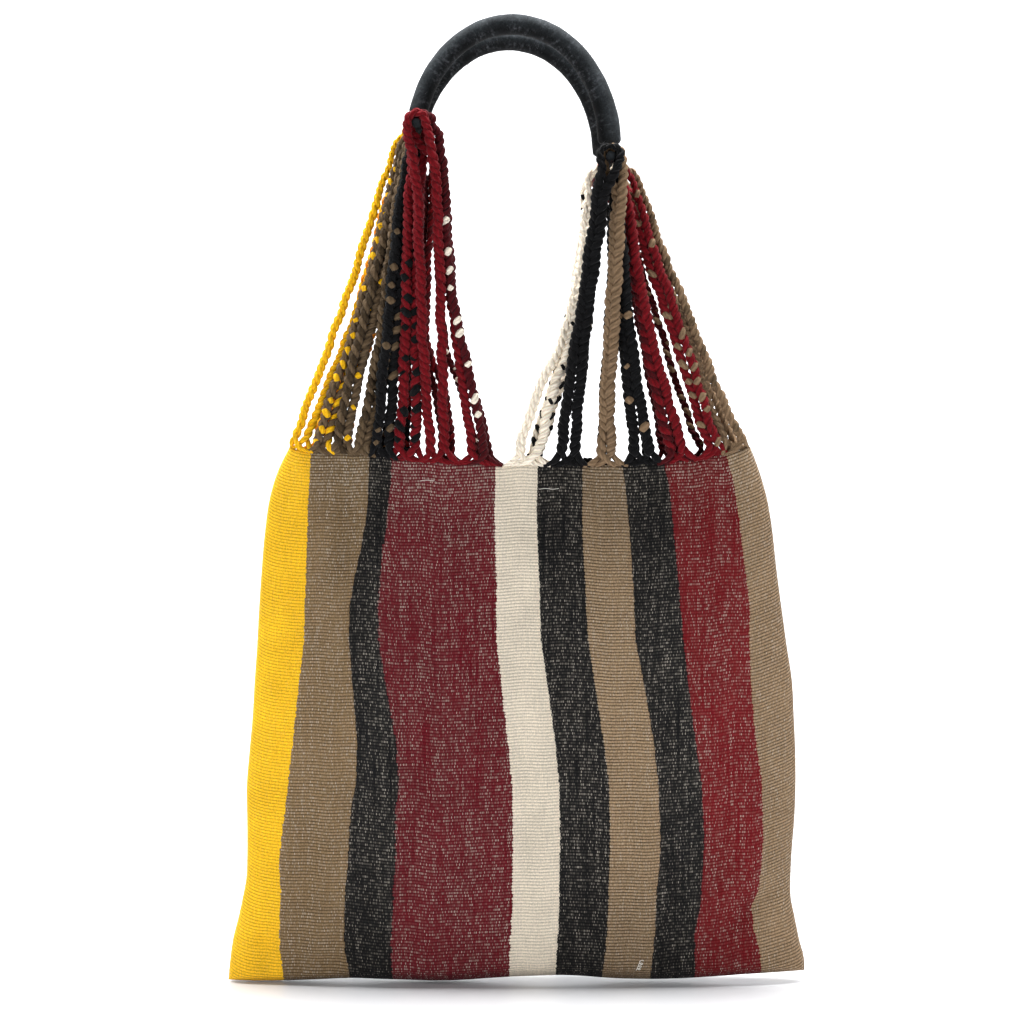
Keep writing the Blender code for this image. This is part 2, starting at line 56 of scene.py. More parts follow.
# Stage: the floor's height, its flat run behind and in front of the bag, the radius of its bend into
# the backdrop, the backdrop's height and half the width of all
FLOOR_Z = -684.3
FLOOR_FLAT = 1700.0
FLOOR_FRONT = 3200.0
FLOOR_BEND = 900.0
FLOOR_TOP = 3200.0
FLOOR_HALF = 4200.0
FLOOR_COLOUR = (0.826, 0.829, 0.838)
SKY_COLOUR = (0.97, 0.985, 1.0, 1.0)
SKY_STRENGTH = 0.05
LAMPS = {
    # name: place, target, width and height in metres, watts. The two above the bag light the pale
    # floor, the stronger one a little behind it, so that the bag shades the floor under its front edge.
    "top_back": ((0.0, 450.0, 1300.0), (0.0, 450.0, -685.0), (2.6, 0.6), 26.0),
    "top": ((0.0, 85.0, 1300.0), (0.0, 85.0, -685.0), (2.6, 0.26), 96.0),
    "backdrop": ((0.0, 1300.0, 1500.0), (0.0, 2500.0, 100.0), (3.4, 0.6), 110.0),
    "key": ((-1800.0, -1900.0, 600.0), (0.0, 0.0, -380.0), (1.8, 1.8), 27.0),
    "fill": ((1800.0, -1900.0, 600.0), (0.0, 0.0, -380.0), (1.8, 1.8), 17.0),
}

# Handles
TUBE_RADIUS = 7.5
ARCH_HALF_WIDTH = 70.0
TUBE_CORNER = 3.4
TUBE_RINGS = 300
TUBE_SIDES = 56
CORNER_RINGS = 8
TUBE_SHARES = (0.0, 0.2, 0.5, 0.75, 0.96, 1.0)
TUBE_SWELL = (-0.6, -0.4, 0.0, 0.2, 1.0, 0.9)
CUFF_RAGGED = 0.05
CUFF_REACH = 2.5
ARCH_RISE = 87.4
ARCH_CENTRE_Z = -80.0
HANDLE_Y = 22.0
HANDLES = {
    # name: side, shift of the arch in x and z, height of the left and right ends
    "handle_front": dict(side=-1, shift_x=0.0, shift_z=0.0, left_z=-58.3, right_z=-78.5),
    "handle_back": dict(side=1, shift_x=-2.0, shift_z=-1.5, left_z=-60.0, right_z=-78.5),
}
BAR_RADIUS = 3.2
BAR_CORNER = 1.4
BAR_RINGS = 40
BAR_SIDES = 20
# What the cover's material reads on the bars and necks, where the tube has 1: less fading and lint
BAR_MARK = 0.2
NECK_RADIUS = 3.0
NECK_RINGS = 12
BAR_DROP = {"left": 8.3, "right": 11.5}
BAR_END_MARGIN = 0.8
NECK_INSET = 4.0
# How far the outer end of the bar lies back inside the outermost rope's loop
BAR_RECESS = 3.4
GAP = 0.3

# Ropes, as the CAD model lays them out
ROPE_RADIUS = 3.0
PINCHED_RADIUS = 1.9
PINCH_LENGTH = 60.0
LEVELS = 9
LEVEL_SPACING = 0.82
LOWEST_LEVEL = 14.0
HIGHEST_LEVEL = 8.5
MIDDLE_Z = (-262.0, -219.0, -154.0, -108.0)
LOOP_STEPS = 6
LOOP_CLEARANCE = 0.6
LOOP_SPREAD = 0.72
FIRST_FULL_SEAT = 3
LAST_SEAT = 4
MIN_HALF = 3.3
RIM_STEPS = 400
SETTLE_GAP = 0.42
SETTLE_ROUNDS = 14
SMOOTH_ROUNDS = 10
SETTLE_PUSHES = 12
SMOOTH_PUSHES = 2
SETTLE_REACH = 9.0
SIDE_GIVE = 0.45
SMOOTHING = 0.25
ARCH_STEPS = 30
ROPE_COLUMNS = ("base", "low", "middle", "high", "top", "shoulder", "base_half", "middle_half",
                "top_half", "seat")
MIDDLE_COLUMNS = 6
# A row for each pair of legs: its middle in x at the cloth's edge, at the four heights of MIDDLE_Z and
# just under the crossbar, half the distance between its legs at the edge, in the middle and under
# the crossbar, and its seat on the crossbar.
ROPES_FRONT_LEFT = {
    "yellow": (-154.6, -143.2, -126.0, -103.4, -90.4, -78.5, 4.0, 5.6, 4.2, -4),
    "yellow_brown": (-138.4, -128.6, -113.0, -94.2, -84.6, -75.5, 3.3, 3.4, 4.0, -3),
    "brown_left": (-123.0, -118.6, -107.6, -91.8, -81.5, -72.5, 3.4, 3.3, 4.0, -2),
    "brown_right": (-108.2, -100.2, -92.4, -84.6, -78.0, -70.5, 3.4, 3.3, 4.0, -1),
    "black": (-93.6, -91.0, -87.0, -81.0, -75.0, -68.5, 5.0, 3.6, 4.0, 1),
    "red_black": (-76.0, -73.8, -73.0, -71.5, -69.5, -66.5, 6.1, 3.8, 4.0, 2),
    "red": (-53.5, -55.5, -57.2, -59.0, -60.5, -66.0, 4.7, 7.0, 7.4, 4),
    "red_cream": (-23.6, -30.2, -38.4, -48.5, -50.5, -53.5, 4.4, 3.4, 4.2, 3),
}
ROPES_FRONT_RIGHT = {
    "cream": (10.6, 21.6, 39.5, 53.5, 56.0, 57.5, 8.2, 3.3, 3.6, -3),
    "black_left": (40.0, 43.5, 49.0, 58.2, 64.8, 68.0, 5.0, 3.6, 4.2, 4),
    "tan": (68.0, 68.5, 71.0, 74.6, 76.8, 76.0, 4.2, 3.6, 4.2, 3),
    "black_right": (94.5, 88.4, 82.5, 77.0, 73.0, 72.0, 5.6, 3.8, 3.6, 2),
    "red": (120.5, 108.6, 98.4, 86.0, 80.0, 76.5, 4.6, 3.4, 3.6, 1),
    "red_tan": (147.0, 134.8, 122.0, 98.8, 84.8, 80.5, 4.2, 3.3, 3.6, -1),
    "tan_outer": (162.0, 146.4, 132.2, 105.4, 89.8, 85.0, 6.6, 3.3, 3.6, -2),
}
ROPES_BACK_LEFT = {
    "yellow": (-140.5, -133.5, -117.0, -99.5, -88.0, -76.5, 3.4, 3.3, 3.6, -2),
    "brown": (-124.5, -120.4, -108.6, -90.5, -82.0, -74.0, 3.4, 3.3, 3.6, -1),
    "black_brown": (-98.0, -92.5, -85.6, -80.6, -77.0, -71.5, 3.4, 3.3, 3.6, 1),
    "red_black": (-74.5, -73.5, -72.6, -72.0, -71.5, -69.0, 3.6, 3.3, 3.6, 2),
    "red": (-48.0, -49.6, -66.0, -65.0, -64.0, -63.5, 3.6, 3.3, 4.2, 3),
    "red_cream": (-19.5, -30.0, -45.0, -50.5, -54.0, -58.5, 4.6, 4.9, 4.2, 4),
}
ROPES_BACK_RIGHT = {
    "cream_black": (15.5, 28.6, 41.5, 53.0, 57.0, 58.0, 3.6, 3.3, 3.6, -2),
    "tan_black": (55.5, 58.0, 62.0, 67.0, 70.0, 69.5, 10.2, 7.2, 4.5, -1),
    "black": (95.5, 91.0, 84.5, 77.0, 73.0, 71.0, 3.6, 3.3, 3.6, 1),
    "red": (117.5, 109.5, 100.6, 87.0, 80.5, 75.5, 5.9, 3.7, 3.6, 2),
    "red_tan": (143.0, 130.0, 117.5, 97.5, 86.5, 80.0, 4.8, 4.6, 4.2, 3),
    "tan": (161.0, 145.0, 131.5, 104.8, 91.0, 84.0, 3.8, 3.3, 4.2, 4),
}
ROPES = {
    ("handle_front", "left"): ROPES_FRONT_LEFT,
    ("handle_front", "right"): ROPES_FRONT_RIGHT,
    ("handle_back", "left"): ROPES_BACK_LEFT,
    ("handle_back", "right"): ROPES_BACK_RIGHT,
}
# The two legs of each pair, the left one first: the main colour, the colour of the flecks that one ply
# shows, and how far round the rope they reach, from 0 for a plain leg to 1 for a ply of that colour.
ROPE_LEGS = {
    "rope_front_left_yellow": (("yellow", "yellow", 0.0), ("yellow", "yellow", 0.0)),
    "rope_front_left_yellow_brown": (("brown", "yellow", 0.30), ("yellow", "brown", 1.0)),
    "rope_front_left_brown_left": (("brown", "dark_brown", 1.0), ("brown", "yellow", 0.10)),
    "rope_front_left_brown_right": (("brown", "dark_brown", 0.3), ("brown", "brown", 0.0)),
    "rope_front_left_black": (("black", "brown", 0.14), ("black", "brown", 0.28)),
    "rope_front_left_red_black": (("red", "black", 0.45), ("red", "black", 0.40)),
    "rope_front_left_red": (("red", "red", 0.0), ("red", "red", 0.0)),
    "rope_front_left_red_cream": (("red", "red", 0.0), ("dark_red", "cream", 0.26)),
    "rope_front_right_cream": (("cream", "black", 0.05), ("cream", "black", 0.05)),
    "rope_front_right_black_left": (("black", "black", 0.0), ("black", "brown", 0.05)),
    "rope_front_right_tan": (("tan", "tan", 0.0), ("tan", "tan", 0.0)),
    "rope_front_right_black_right": (("black", "tan", 0.10), ("black", "tan", 0.14)),
    "rope_front_right_red": (("dark_red", "red", 1.0), ("red", "red", 0.0)),
    "rope_front_right_red_tan": (("red", "tan", 0.30), ("red", "tan", 0.28)),
    "rope_front_right_tan_outer": (("tan", "tan", 0.0), ("tan", "brown", 0.3)),
    "rope_back_left_yellow": (("yellow", "orange", 1.0), ("orange", "orange", 0.0)),
    "rope_back_left_brown": (("orange", "brown", 1.0), ("brown", "orange", 0.6)),
    "rope_back_left_black_brown": (("dark_brown", "black", 1.0), ("black", "brown", 0.4)),
    "rope_back_left_red_black": (("black", "red", 0.5), ("dark_red", "black", 0.6)),
    "rope_back_left_red": (("dark_red", "dark_red", 0.0), ("red", "dark_red", 1.0)),
    "rope_back_left_red_cream": (("dark_red", "cream", 0.3), ("dark_red", "dark_red", 0.0)),
    "rope_back_right_cream_black": (("cream", "black", 0.6), ("cream", "black", 0.5)),
    "rope_back_right_tan_black": (("black", "cream", 0.3), ("black", "brown", 0.7)),
    "rope_back_right_black": (("black", "black", 0.0), ("black", "red", 0.25)),
    "rope_back_right_red": (("dark_red", "dark_red", 0.0), ("red", "dark_red", 1.0)),
    "rope_back_right_red_tan": (("dark_red", "tan", 0.5), ("red", "brown", 0.5)),
    "rope_back_right_tan": (("tan", "brown", 0.5), ("tan", "tan", 0.0)),
}
# Twist of the left and the right leg: -1 leans to the left on its way up, seen from the front.
TWISTS = {"rope_front_left_red": (-1, -1)}
USUAL_TWISTS = (-1, 1)
PLIES = 2
PLY_RADIUS = 2.02
PLY_OFFSET = 1.58
THICKNESS = {"yellow": 0.96, "yellow_brown": 1.06, "brown_left": 1.04, "red_cream": 1.06, "cream": 1.12,
             "tan_outer": 0.99, "red_tan": 1.02, "tan": 1.14, "red": 1.15, "brown_right": 1.08,
             "red_black": 1.20, "black": 1.18, "black_left": 1.24, "black_right": 1.25}
BACK_THICKNESS = 0.86
HUG_COLUMNS = ("upper", "lower", "shift")
# Pairs whose legs press together: the share of their distance that stays, above and below
# HUG_HEIGHTS, and how far one leg moves in front of the other.
HUGS = {
    "rope_front_right_cream": (0.55, 1.00, 1.4),
    "rope_front_left_red_cream": (0.25, 0.85, 2.2),
    "rope_front_right_tan": (0.50, 0.50, 1.6),
    "rope_front_right_black_left": (0.62, 0.95, 1.7),
    "rope_back_left_red": (0.60, 1.00, 1.5),
    "rope_front_right_black_right": (0.55, 0.80, 1.5),
    "rope_front_right_red": (0.45, 0.95, 1.7),
}
HUG_HEIGHTS = (-202.0, -236.0)
# Over HUG_MARGIN the hug fades out toward the free lengths at the cloth and under the crossbar
HUG_MARGIN = 26.0
HUG_FREE = (4.0, 6.0)
BULGE_COLUMNS = ("leg", "z", "reach", "out_x", "out_y")
# Bulges of single legs or loops: the leg (-1 left, 1 right), its middle in z, half its height, and how
# far it moves the rope to the right and toward the front.
BULGES = {
    "rope_front_left_yellow": ((-1, -67.0, 8.0, -4.6, 0.5),),
    "rope_front_left_red_cream": ((1, -63.5, 8.0, 4.8, 0.5), (1, -108.0, 36.0, 1.7, 0.3)),
    "rope_front_right_cream": ((-1, -104.0, 22.0, 0.8, 0.4), (1, -104.0, 22.0, 1.4, 0.4)),
    "rope_front_right_black_left": ((-1, -104.0, 18.0, -1.4, 0.0),),
    "rope_front_right_tan": ((1, -82.0, 8.0, 2.6, 0.5),),
    "rope_front_right_tan_outer": ((1, -85.0, 9.0, 6.0, 1.0),),
    "rope_back_left_red": ((-1, -112.0, 40.0, 1.4, 0.0), (1, -112.0, 40.0, 2.6, 0.0)),
}
PLY_SIDES = 9
PLY_RING = 1.2
PLY_UNEVEN = 0.11
ROPE_WANDER = 0.55
WANDER_FADE = 20.0
# Wave lengths of the wander in x and in y: the short wave, and the long one that bends it
WANDER_WAVES = ((6.1, 17.0), (7.3, 13.0))
WANDER_BEND = 1.5
# Uneven twist: its size in radians, its wave length and the number of its random start
TWIST_SLIPS = ((0.8, 14.0, 3), (0.4, 5.3, 0))
# A strand's number for its noises is its own plus this share of the pair's place in x
PART_STEP = 0.37
TWIST_PITCH = 11.6
# Thickness just under the crossbar as a share of a rope's, and the pairs that are thicker there
TOP_PINCH = 0.72
THICK_TOPS = {"rope_front_left_red": 0.90, "rope_front_left_red_cream": 0.92,
              "rope_front_right_tan": 0.86}
TOP_PINCH_LENGTH = 34.0
# Flecks face this way. Their chance grows over FLECK_FADE below the crossbar and is less for a reach
# under OFTEN_REACH. Each has from 0.6 of its leg's reach to 0.7 more.
FLECK_FACING = (0.5, -0.85, 0.0)
FLECK_SIZES = (0.6, 0.7)
FLECK_CHANCE = 0.62
FLECK_FADE = 170.0
OFTEN_REACH = 0.24
FLECK_BULGE = 0.12
FAN_START = 3.0
FAN_RINGS = 14
FAN_RISE = 1.5
FAN_LAYER = 0.8
FAN_CROSS = 2.4
FAN_BEHIND = 0.4
FAN_FLAT = 0.62
FAN_LEAD = 3.2
FAN_TAPER = (0.5, 1.55)
# Legs whose fleck reaches farther than this end in strands of the fleck's colour
FOOT_REACH = 0.6
FANS = (
    # The left leg, then the right one: where its plies' feet stand in the gathered stretch, the rings
    # where a ply leaves the helix, and the number of the foot whose strand crosses in front
    ((0.0, 0.72), 0, 1, PLIES - 1),
    ((0.28, 1.0), -1, -2, 0),
)
EDGE_INSET = 1.0
FOOT_LIFT = -0.4
TENT_SHARES = (0.05, 0.16, 0.30, 0.43, 0.57, 0.70, 0.84, 0.95)
TENT_TOP = 6.0
TENT_FLAT = 0.55
TENT_SWAY_X = (-2.2, 2.2)
TENT_SWAY_Z = (-1.2, 0.6)
TENT_CROSS = (-0.6, 1.6)
TENT_RADII = (0.85, 1.75)
TENT_MARGIN = 14.0
TENT_OVERLAP = 2.6
# How much the legs of these pairs draw together at their base, and over what height
SQUEEZE = {"cream": 0.60, "tan": 0.72, "red_tan": 0.72, "brown_right": 0.85, "cream_black": 0.8}
SQUEEZE_HEIGHT = 15.0

# Bag body, as the CAD model lays it out
CLOTH = 1.5
BOTTOM_RISE = 16.0
SEAM_HALF = 2.3
FLATNESS = 2.6
SEAM_ROUNDNESS = 40
COLUMN_CROWDING = 0.45
FOLD_FADE = 0.625
FOLD_FADE_START = 0.06
BODY_COLUMNS = 150
BODY_ROWS = 136
BODY_BEND_ROWS = 9
SIDE_EDGES = (
    # height, left edge, right edge
    (-295.5, -162.2, 173.8),
    (-312.0, -170.3, 179.9),
    (-332.0, -176.4, 185.7),
    (-356.0, -179.9, 189.7),
    (-384.5, -182.4, 192.8),
    (-412.5, -184.3, 196.5),
    (-441.0, -185.8, 200.4),
    (-465.0, -187.5, 204.0),
    (-491.5, -189.0, 205.4),
    (-517.0, -191.3, 206.5),
    (-542.0, -193.3, 206.7),
    (-567.5, -193.0, 205.7),
    (-592.5, -193.0, 203.7),
    (-609.0, -193.6, 203.0),
    (-623.0, -196.1, 203.1),
    (-637.0, -199.1, 205.9),
    (-653.5, -203.2, 209.2),
    (-667.5, -205.2, 212.8),
    (-684.0, -206.7, 212.8),
)
TOP_EDGE = (
    # place across the bag from -1 at the left seam to 1 at the right one, height
    (-1.00, -296.0),
    (-0.92, -298.5),
    (-0.66, -301.5),
    (-0.45, -305.5),
    (-0.20, -308.3),
    (0.05, -309.0),
    (0.40, -309.0),
    (0.62, -307.3),
    (0.81, -303.0),
    (0.92, -298.8),
    (1.00, -296.0),
)
BOTTOM_EDGE = (
    # place across the bag, height: a little lower than the CAD model's where the photograph shows it
    (-1.00, -683.3),
    (-0.90, -683.8),
    (-0.81, -683.6),
    (-0.69, -682.6),
    (-0.58, -681.6),
    (-0.43, -682.5),
    (-0.25, -683.3),
    (-0.02, -680.6),
    (0.15, -679.4),
    (0.38, -682.0),
    (0.58, -681.8),
    (0.73, -679.8),
    (1.00, -676.4),
)
HALF_DEPTH = (
    # height, half the bag's depth at its middle
    (-684.0, 19.0),
    (-640.0, 21.0),
    (-560.0, 21.0),
    (-450.0, 18.5),
    (-350.0, 15.5),
    (-296.0, 14.0),
)
FOLD_COLUMNS = ("x", "z", "angle", "length", "width", "lift")
# A row for each soft fold: its middle, its direction in degrees from level, half its length, half
# its width, and how far it lifts the cloth outward.
FRONT_FOLDS = (
    (-127.0, -380.0, 92.0, 85.0, 15.0, 2.2),
    (-107.0, -410.0, 97.0, 80.0, 14.0, -3.2),
    (-84.0, -470.0, 80.0, 80.0, 16.0, 2.4),
    (-46.0, -495.0, 62.0, 70.0, 18.0, -3.0),
    (-8.0, -440.0, 82.0, 90.0, 18.0, 2.2),
    (36.0, -430.0, 98.0, 90.0, 16.0, -2.0),
    (88.0, -500.0, 75.0, 80.0, 18.0, -2.6),
    (132.0, -520.0, 70.0, 60.0, 16.0, 3.0),
    (184.0, -621.0, 38.0, 30.0, 7.5, -6.5),
    (168.0, -606.0, 42.0, 32.0, 10.0, 2.6),
    (150.0, -585.0, 105.0, 40.0, 12.0, -2.2),
    (-176.0, -655.0, 82.0, 20.0, 8.5, -4.0),
    (-137.0, -668.0, 4.0, 24.0, 8.0, -4.5),
    (-150.0, -600.0, 98.0, 60.0, 14.0, -2.0),
    (-95.0, -600.0, 88.0, 70.0, 16.0, 2.0),
    (40.0, -610.0, 94.0, 60.0, 18.0, 1.8),
)
BACK_FOLDS = (
    (-110.0, -420.0, 95.0, 90.0, 18.0, -3.0),
    (-40.0, -500.0, 84.0, 90.0, 20.0, 2.4),
    (50.0, -450.0, 100.0, 95.0, 18.0, -2.6),
    (120.0, -540.0, 72.0, 70.0, 18.0, 2.6),
    (-150.0, -620.0, 60.0, 36.0, 11.0, -3.4),
    (10.0, -620.0, 92.0, 60.0, 18.0, -2.2),
)
# Small ripples that only the looks have: length of a wave across and down the bag, its start in
# turns, and its height.
RIPPLES = ((41.0, 160.0, 0.13, 0.35), (27.0, -210.0, 0.61, 0.22), (73.0, 95.0, 0.37, 0.40))
PUCKER_DEPTH = 1.1
PUCKER_REACH = 11.0

# Stray fibres, a mend, loose ends of weft (from x, to x, height), and single stray ends (start, end,
# how far they sag, number of their dye).
FIBRE_RADIUS = 0.13
FIBRE_ROOT = 0.97
FIBRE_CURL = 0.45
FIBRE_LEANS = (0.2, 1.0)
FIBRE_RINGS = 5
FIBRE_LENGTHS = (1.2, 3.4)
HANDLE_FIBRES = (300, 60)
ROPE_FIBRES = 30
SEAM_FIBRES = 26
MEND = dict(x=93.2, z=-665.2, width=-2.6, height=-7.0, loops=3.5, reach=1.25, radius=0.27)
WEFT_RADIUS = 0.20
LOOSE_WEFT = ((19.4, 33.8, -326.0), (-66.0, -56.0, -320.0))
STRAY_RADIUS = 0.16
STRAY_ENDS = (
    ((56.5, -24.0, -61.2), (48.6, -25.0, -60.2), 1.6, 2),
    ((161.0, -8.0, -294.0), (168.6, -9.0, -290.4), 2.0, 1),
    ((161.5, -8.0, -293.0), (169.4, -9.5, -293.4), 1.0, 1),
    ((162.0, -8.0, -292.0), (166.6, -8.0, -287.0), -1.0, 1),
)
THREAD_DYES = {
    "white_thread": (0.93, 0.91, 0.87),
    "tan_fibre": (0.60, 0.50, 0.39),
    "dark_fibre": (0.12, 0.13, 0.14),
}

# Weave: distance from rib to rib and from speck to speck, length of the panel from its top edge to the
# bottom, width that stands for a stripe in the stripe numbers
RIB = 2.27
SPECK_STEP = 1.08
PANEL_LENGTH = 388.0
BORDER_WIDTH = 42.0
# How far the ribs sag and the borders step, shifts of the specks, the reach of the brighter top
RIB_SAG = 0.5
BORDER_STEP = 0.9
BORDER_BOW = 0.6
SPECK_SHIFT = 0.4
TOP_SHINE = 30.0
GROOVE_SHARPNESS = 1.3
SPECK_GAIN = 4.0
GRAIN_GAIN = 3.1
WEFT_DYE_SHARE = 0.27
WEAVE_RELIEF = 0.00040
WEAVE_NOISES = {
    # name: rate across, rate along, third coordinate, detail, roughness
    "sag": (0.011, 0.004, 0.0, 1.0, 0.5),
    "grain": (0.85, 0.7, 5.0, 3.0, 0.75),
    "streak": (0.42, 0.012, 2.0, 2.0, 0.6),
    "patch": (0.045, 0.03, 5.0, 2.0, 0.5),
    "thread": (1.3, 0.05, 0.0, 2.0, 0.6),
    "cloud": (0.04, 0.035, 7.0, 3.0, 0.5),
}
STRIPES = ("yellow", "brown", "black", "maroon", "cream", "black", "tan", "black", "red", "pale_tan")
# Height, then the x of the nine borders between the ten stripes, from left to right.
STRIPE_BORDERS = (
    (-301.7, -146.2, -103.2, -87.1, -13.0, 18.7, 50.4, 77.8, 108.0, 154.3),
    (-322.6, -147.3, -103.9, -88.8, -12.4, 18.3, 50.4, 80.5, 112.5, 159.7),
    (-337.7, -147.9, -104.5, -90.2, -12.7, 17.9, 50.4, 82.2, 114.7, 162.2),
    (-355.7, -148.3, -106.8, -91.9, -12.5, 18.2, 50.4, 83.7, 116.2, 164.6),
    (-373.7, -148.8, -110.3, -94.3, -11.9, 19.0, 51.2, 85.1, 118.0, 166.6),
    (-391.7, -149.4, -114.5, -96.5, -11.5, 19.7, 52.2, 86.0, 119.5, 168.5),
    (-409.7, -150.1, -117.4, -97.2, -11.5, 20.2, 52.9, 87.0, 120.9, 171.1),
    (-434.9, -150.5, -118.1, -97.2, -11.5, 20.9, 54.4, 87.8, 123.1, 170.6),
    (-470.9, -154.6, -115.1, -90.7, -7.5, 26.3, 60.0, 95.0, 127.2, 172.0),
    (-506.9, -158.7, -112.2, -84.1, -3.6, 31.0, 65.3, 100.9, 131.6, 175.0),
    (-535.7, -162.0, -113.0, -82.1, -0.7, 33.8, 69.1, 104.0, 135.7, 179.3),
    (-555.8, -164.2, -116.6, -84.2, -0.4, 34.2, 69.6, 104.8, 136.9, 180.0),
    (-576.0, -167.0, -118.1, -84.2, 0.0, 34.6, 70.0, 105.6, 138.2, 180.7),
    (-596.2, -168.8, -118.8, -84.2, 0.4, 34.3, 69.8, 105.2, 137.6, 179.5),
    (-616.3, -167.3, -121.0, -85.7, -0.1, 34.1, 69.1, 102.9, 136.0, 177.2),
    (-627.8, -168.0, -121.4, -86.3, -0.4, 33.9, 68.7, 102.5, 134.9, 172.4),
    (-643.7, -168.5, -121.7, -87.0, -1.3, 33.3, 67.9, 102.0, 131.1, 173.6),
    (-658.1, -168.3, -121.4, -87.4, -1.9, 32.3, 66.8, 100.6, 131.2, 177.8),
    (-673.9, -166.1, -118.1, -87.1, -2.2, 31.7, 64.8, 98.9, 131.8, 179.3),
)
DYES = {
    # name: colour as printed (sRGB), how strongly the pale weft shows through, depth of the painted
    # shade in the grooves, how much painted shade darkens the cloth near its top and bottom
    "yellow": ((0.985, 0.762, 0.150), 0.03, 0.50, 0.06),
    "brown": ((0.545, 0.448, 0.324), 0.27, 0.86, 0.22),
    "black": ((0.064, 0.067, 0.075), 0.28, 0.30, 0.62),
    "maroon": ((0.384, 0.040, 0.098), 0.31, 0.50, 0.00),
    "red": ((0.455, 0.042, 0.085), 0.30, 0.50, 0.26),
    "cream": ((0.884, 0.836, 0.758), 0.04, 0.46, 0.00),
    "tan": ((0.628, 0.528, 0.408), 0.22, 1.00, 0.38),
    "pale_tan": ((0.610, 0.508, 0.392), 0.22, 0.96, 0.02),
}
# The darker copies of yellow, red and brown, the yellow one turned orange, are painted shade for legs
# and plies that lie in shade behind others
ROPE_DYES = {
    "yellow": (0.965, 0.735, 0.095),
    "orange": (0.810, 0.485, 0.028),
    "brown": (0.390, 0.320, 0.238),
    "dark_brown": (0.250, 0.200, 0.140),
    "black": (0.052, 0.052, 0.058),
    "red": (0.437, 0.047, 0.083),
    "dark_red": (0.285, 0.042, 0.066),
    "cream": (0.995, 0.950, 0.875),
    "tan": (0.520, 0.426, 0.326),
}
WEFT_COLOUR = (0.86, 0.82, 0.76)
YARNS_ROUND = 4.0
YARN_PITCH = 5.2
YARN_RELIEF = 0.00042
COVER_COLOUR = (0.160, 0.174, 0.184)
COVER_FIBRE_COLOUR = (0.30, 0.31, 0.33)
COVER_THREAD = 0.95
COVER_THREADS_ROUND = 46.0
COVER_RELIEF = 0.0003
# How much painted shade darkens the inner side of the handles' arches
INNER_SHADE = 0.80
LINT_COLOUR = (0.40, 0.41, 0.43)
LINT_SHOW = 0.55


# Shader sockets


def linear(colour):
    """A printed colour as the light it reflects: each channel goes through the sRGB curve."""
    channels = np.asarray(colour, dtype=float)
    low = channels / 12.92
    high = ((channels + 0.055) / 1.055) ** 2.4
    return (*np.where(channels <= 0.04045, low, high).tolist(), 1.0)


def operator(operation, swapped=False):
    """The method for an arithmetic sign: it adds a Math node for the wire and the other value."""
    if swapped:
        return lambda wire, other: wire.maths(operation, other, wire)
    return lambda wire, other: wire.maths(operation, wire, other)


class Wire:
    """An output of a shader node. Each arithmetic operator adds the Math node that it names."""

    __add__, __radd__ = operator("ADD"), operator("ADD", swapped=True)
    __sub__, __rsub__ = operator("SUBTRACT"), operator("SUBTRACT", swapped=True)
    __mul__, __rmul__ = operator("MULTIPLY"), operator("MULTIPLY", swapped=True)
    __truediv__, __pow__ = operator("DIVIDE"), operator("POWER")
    least = operator("MINIMUM")

    def __init__(self, finish, socket):
        self.finish = finish
        self.socket = socket

    def maths(self, operation, *values, clamp=False):
        """Add a Math node with these values."""
        settings = {"operation": operation, "use_clamp": clamp}
        return self.finish.node("ShaderNodeMath", settings, dict(enumerate(values)))

    def floor(self):
        """The whole number below."""
        return self.maths("FLOOR", self)

    def fraction(self):
        """What is left above the whole number."""
        return self.maths("FRACT", self)

    def sine(self):
        """Sine of so many full turns."""
        return self.maths("SINE", self * (2 * math.pi))

    def clamped(self):
        """Kept from 0 to 1."""
        return self.maths("ADD", self, 0.0, clamp=True)


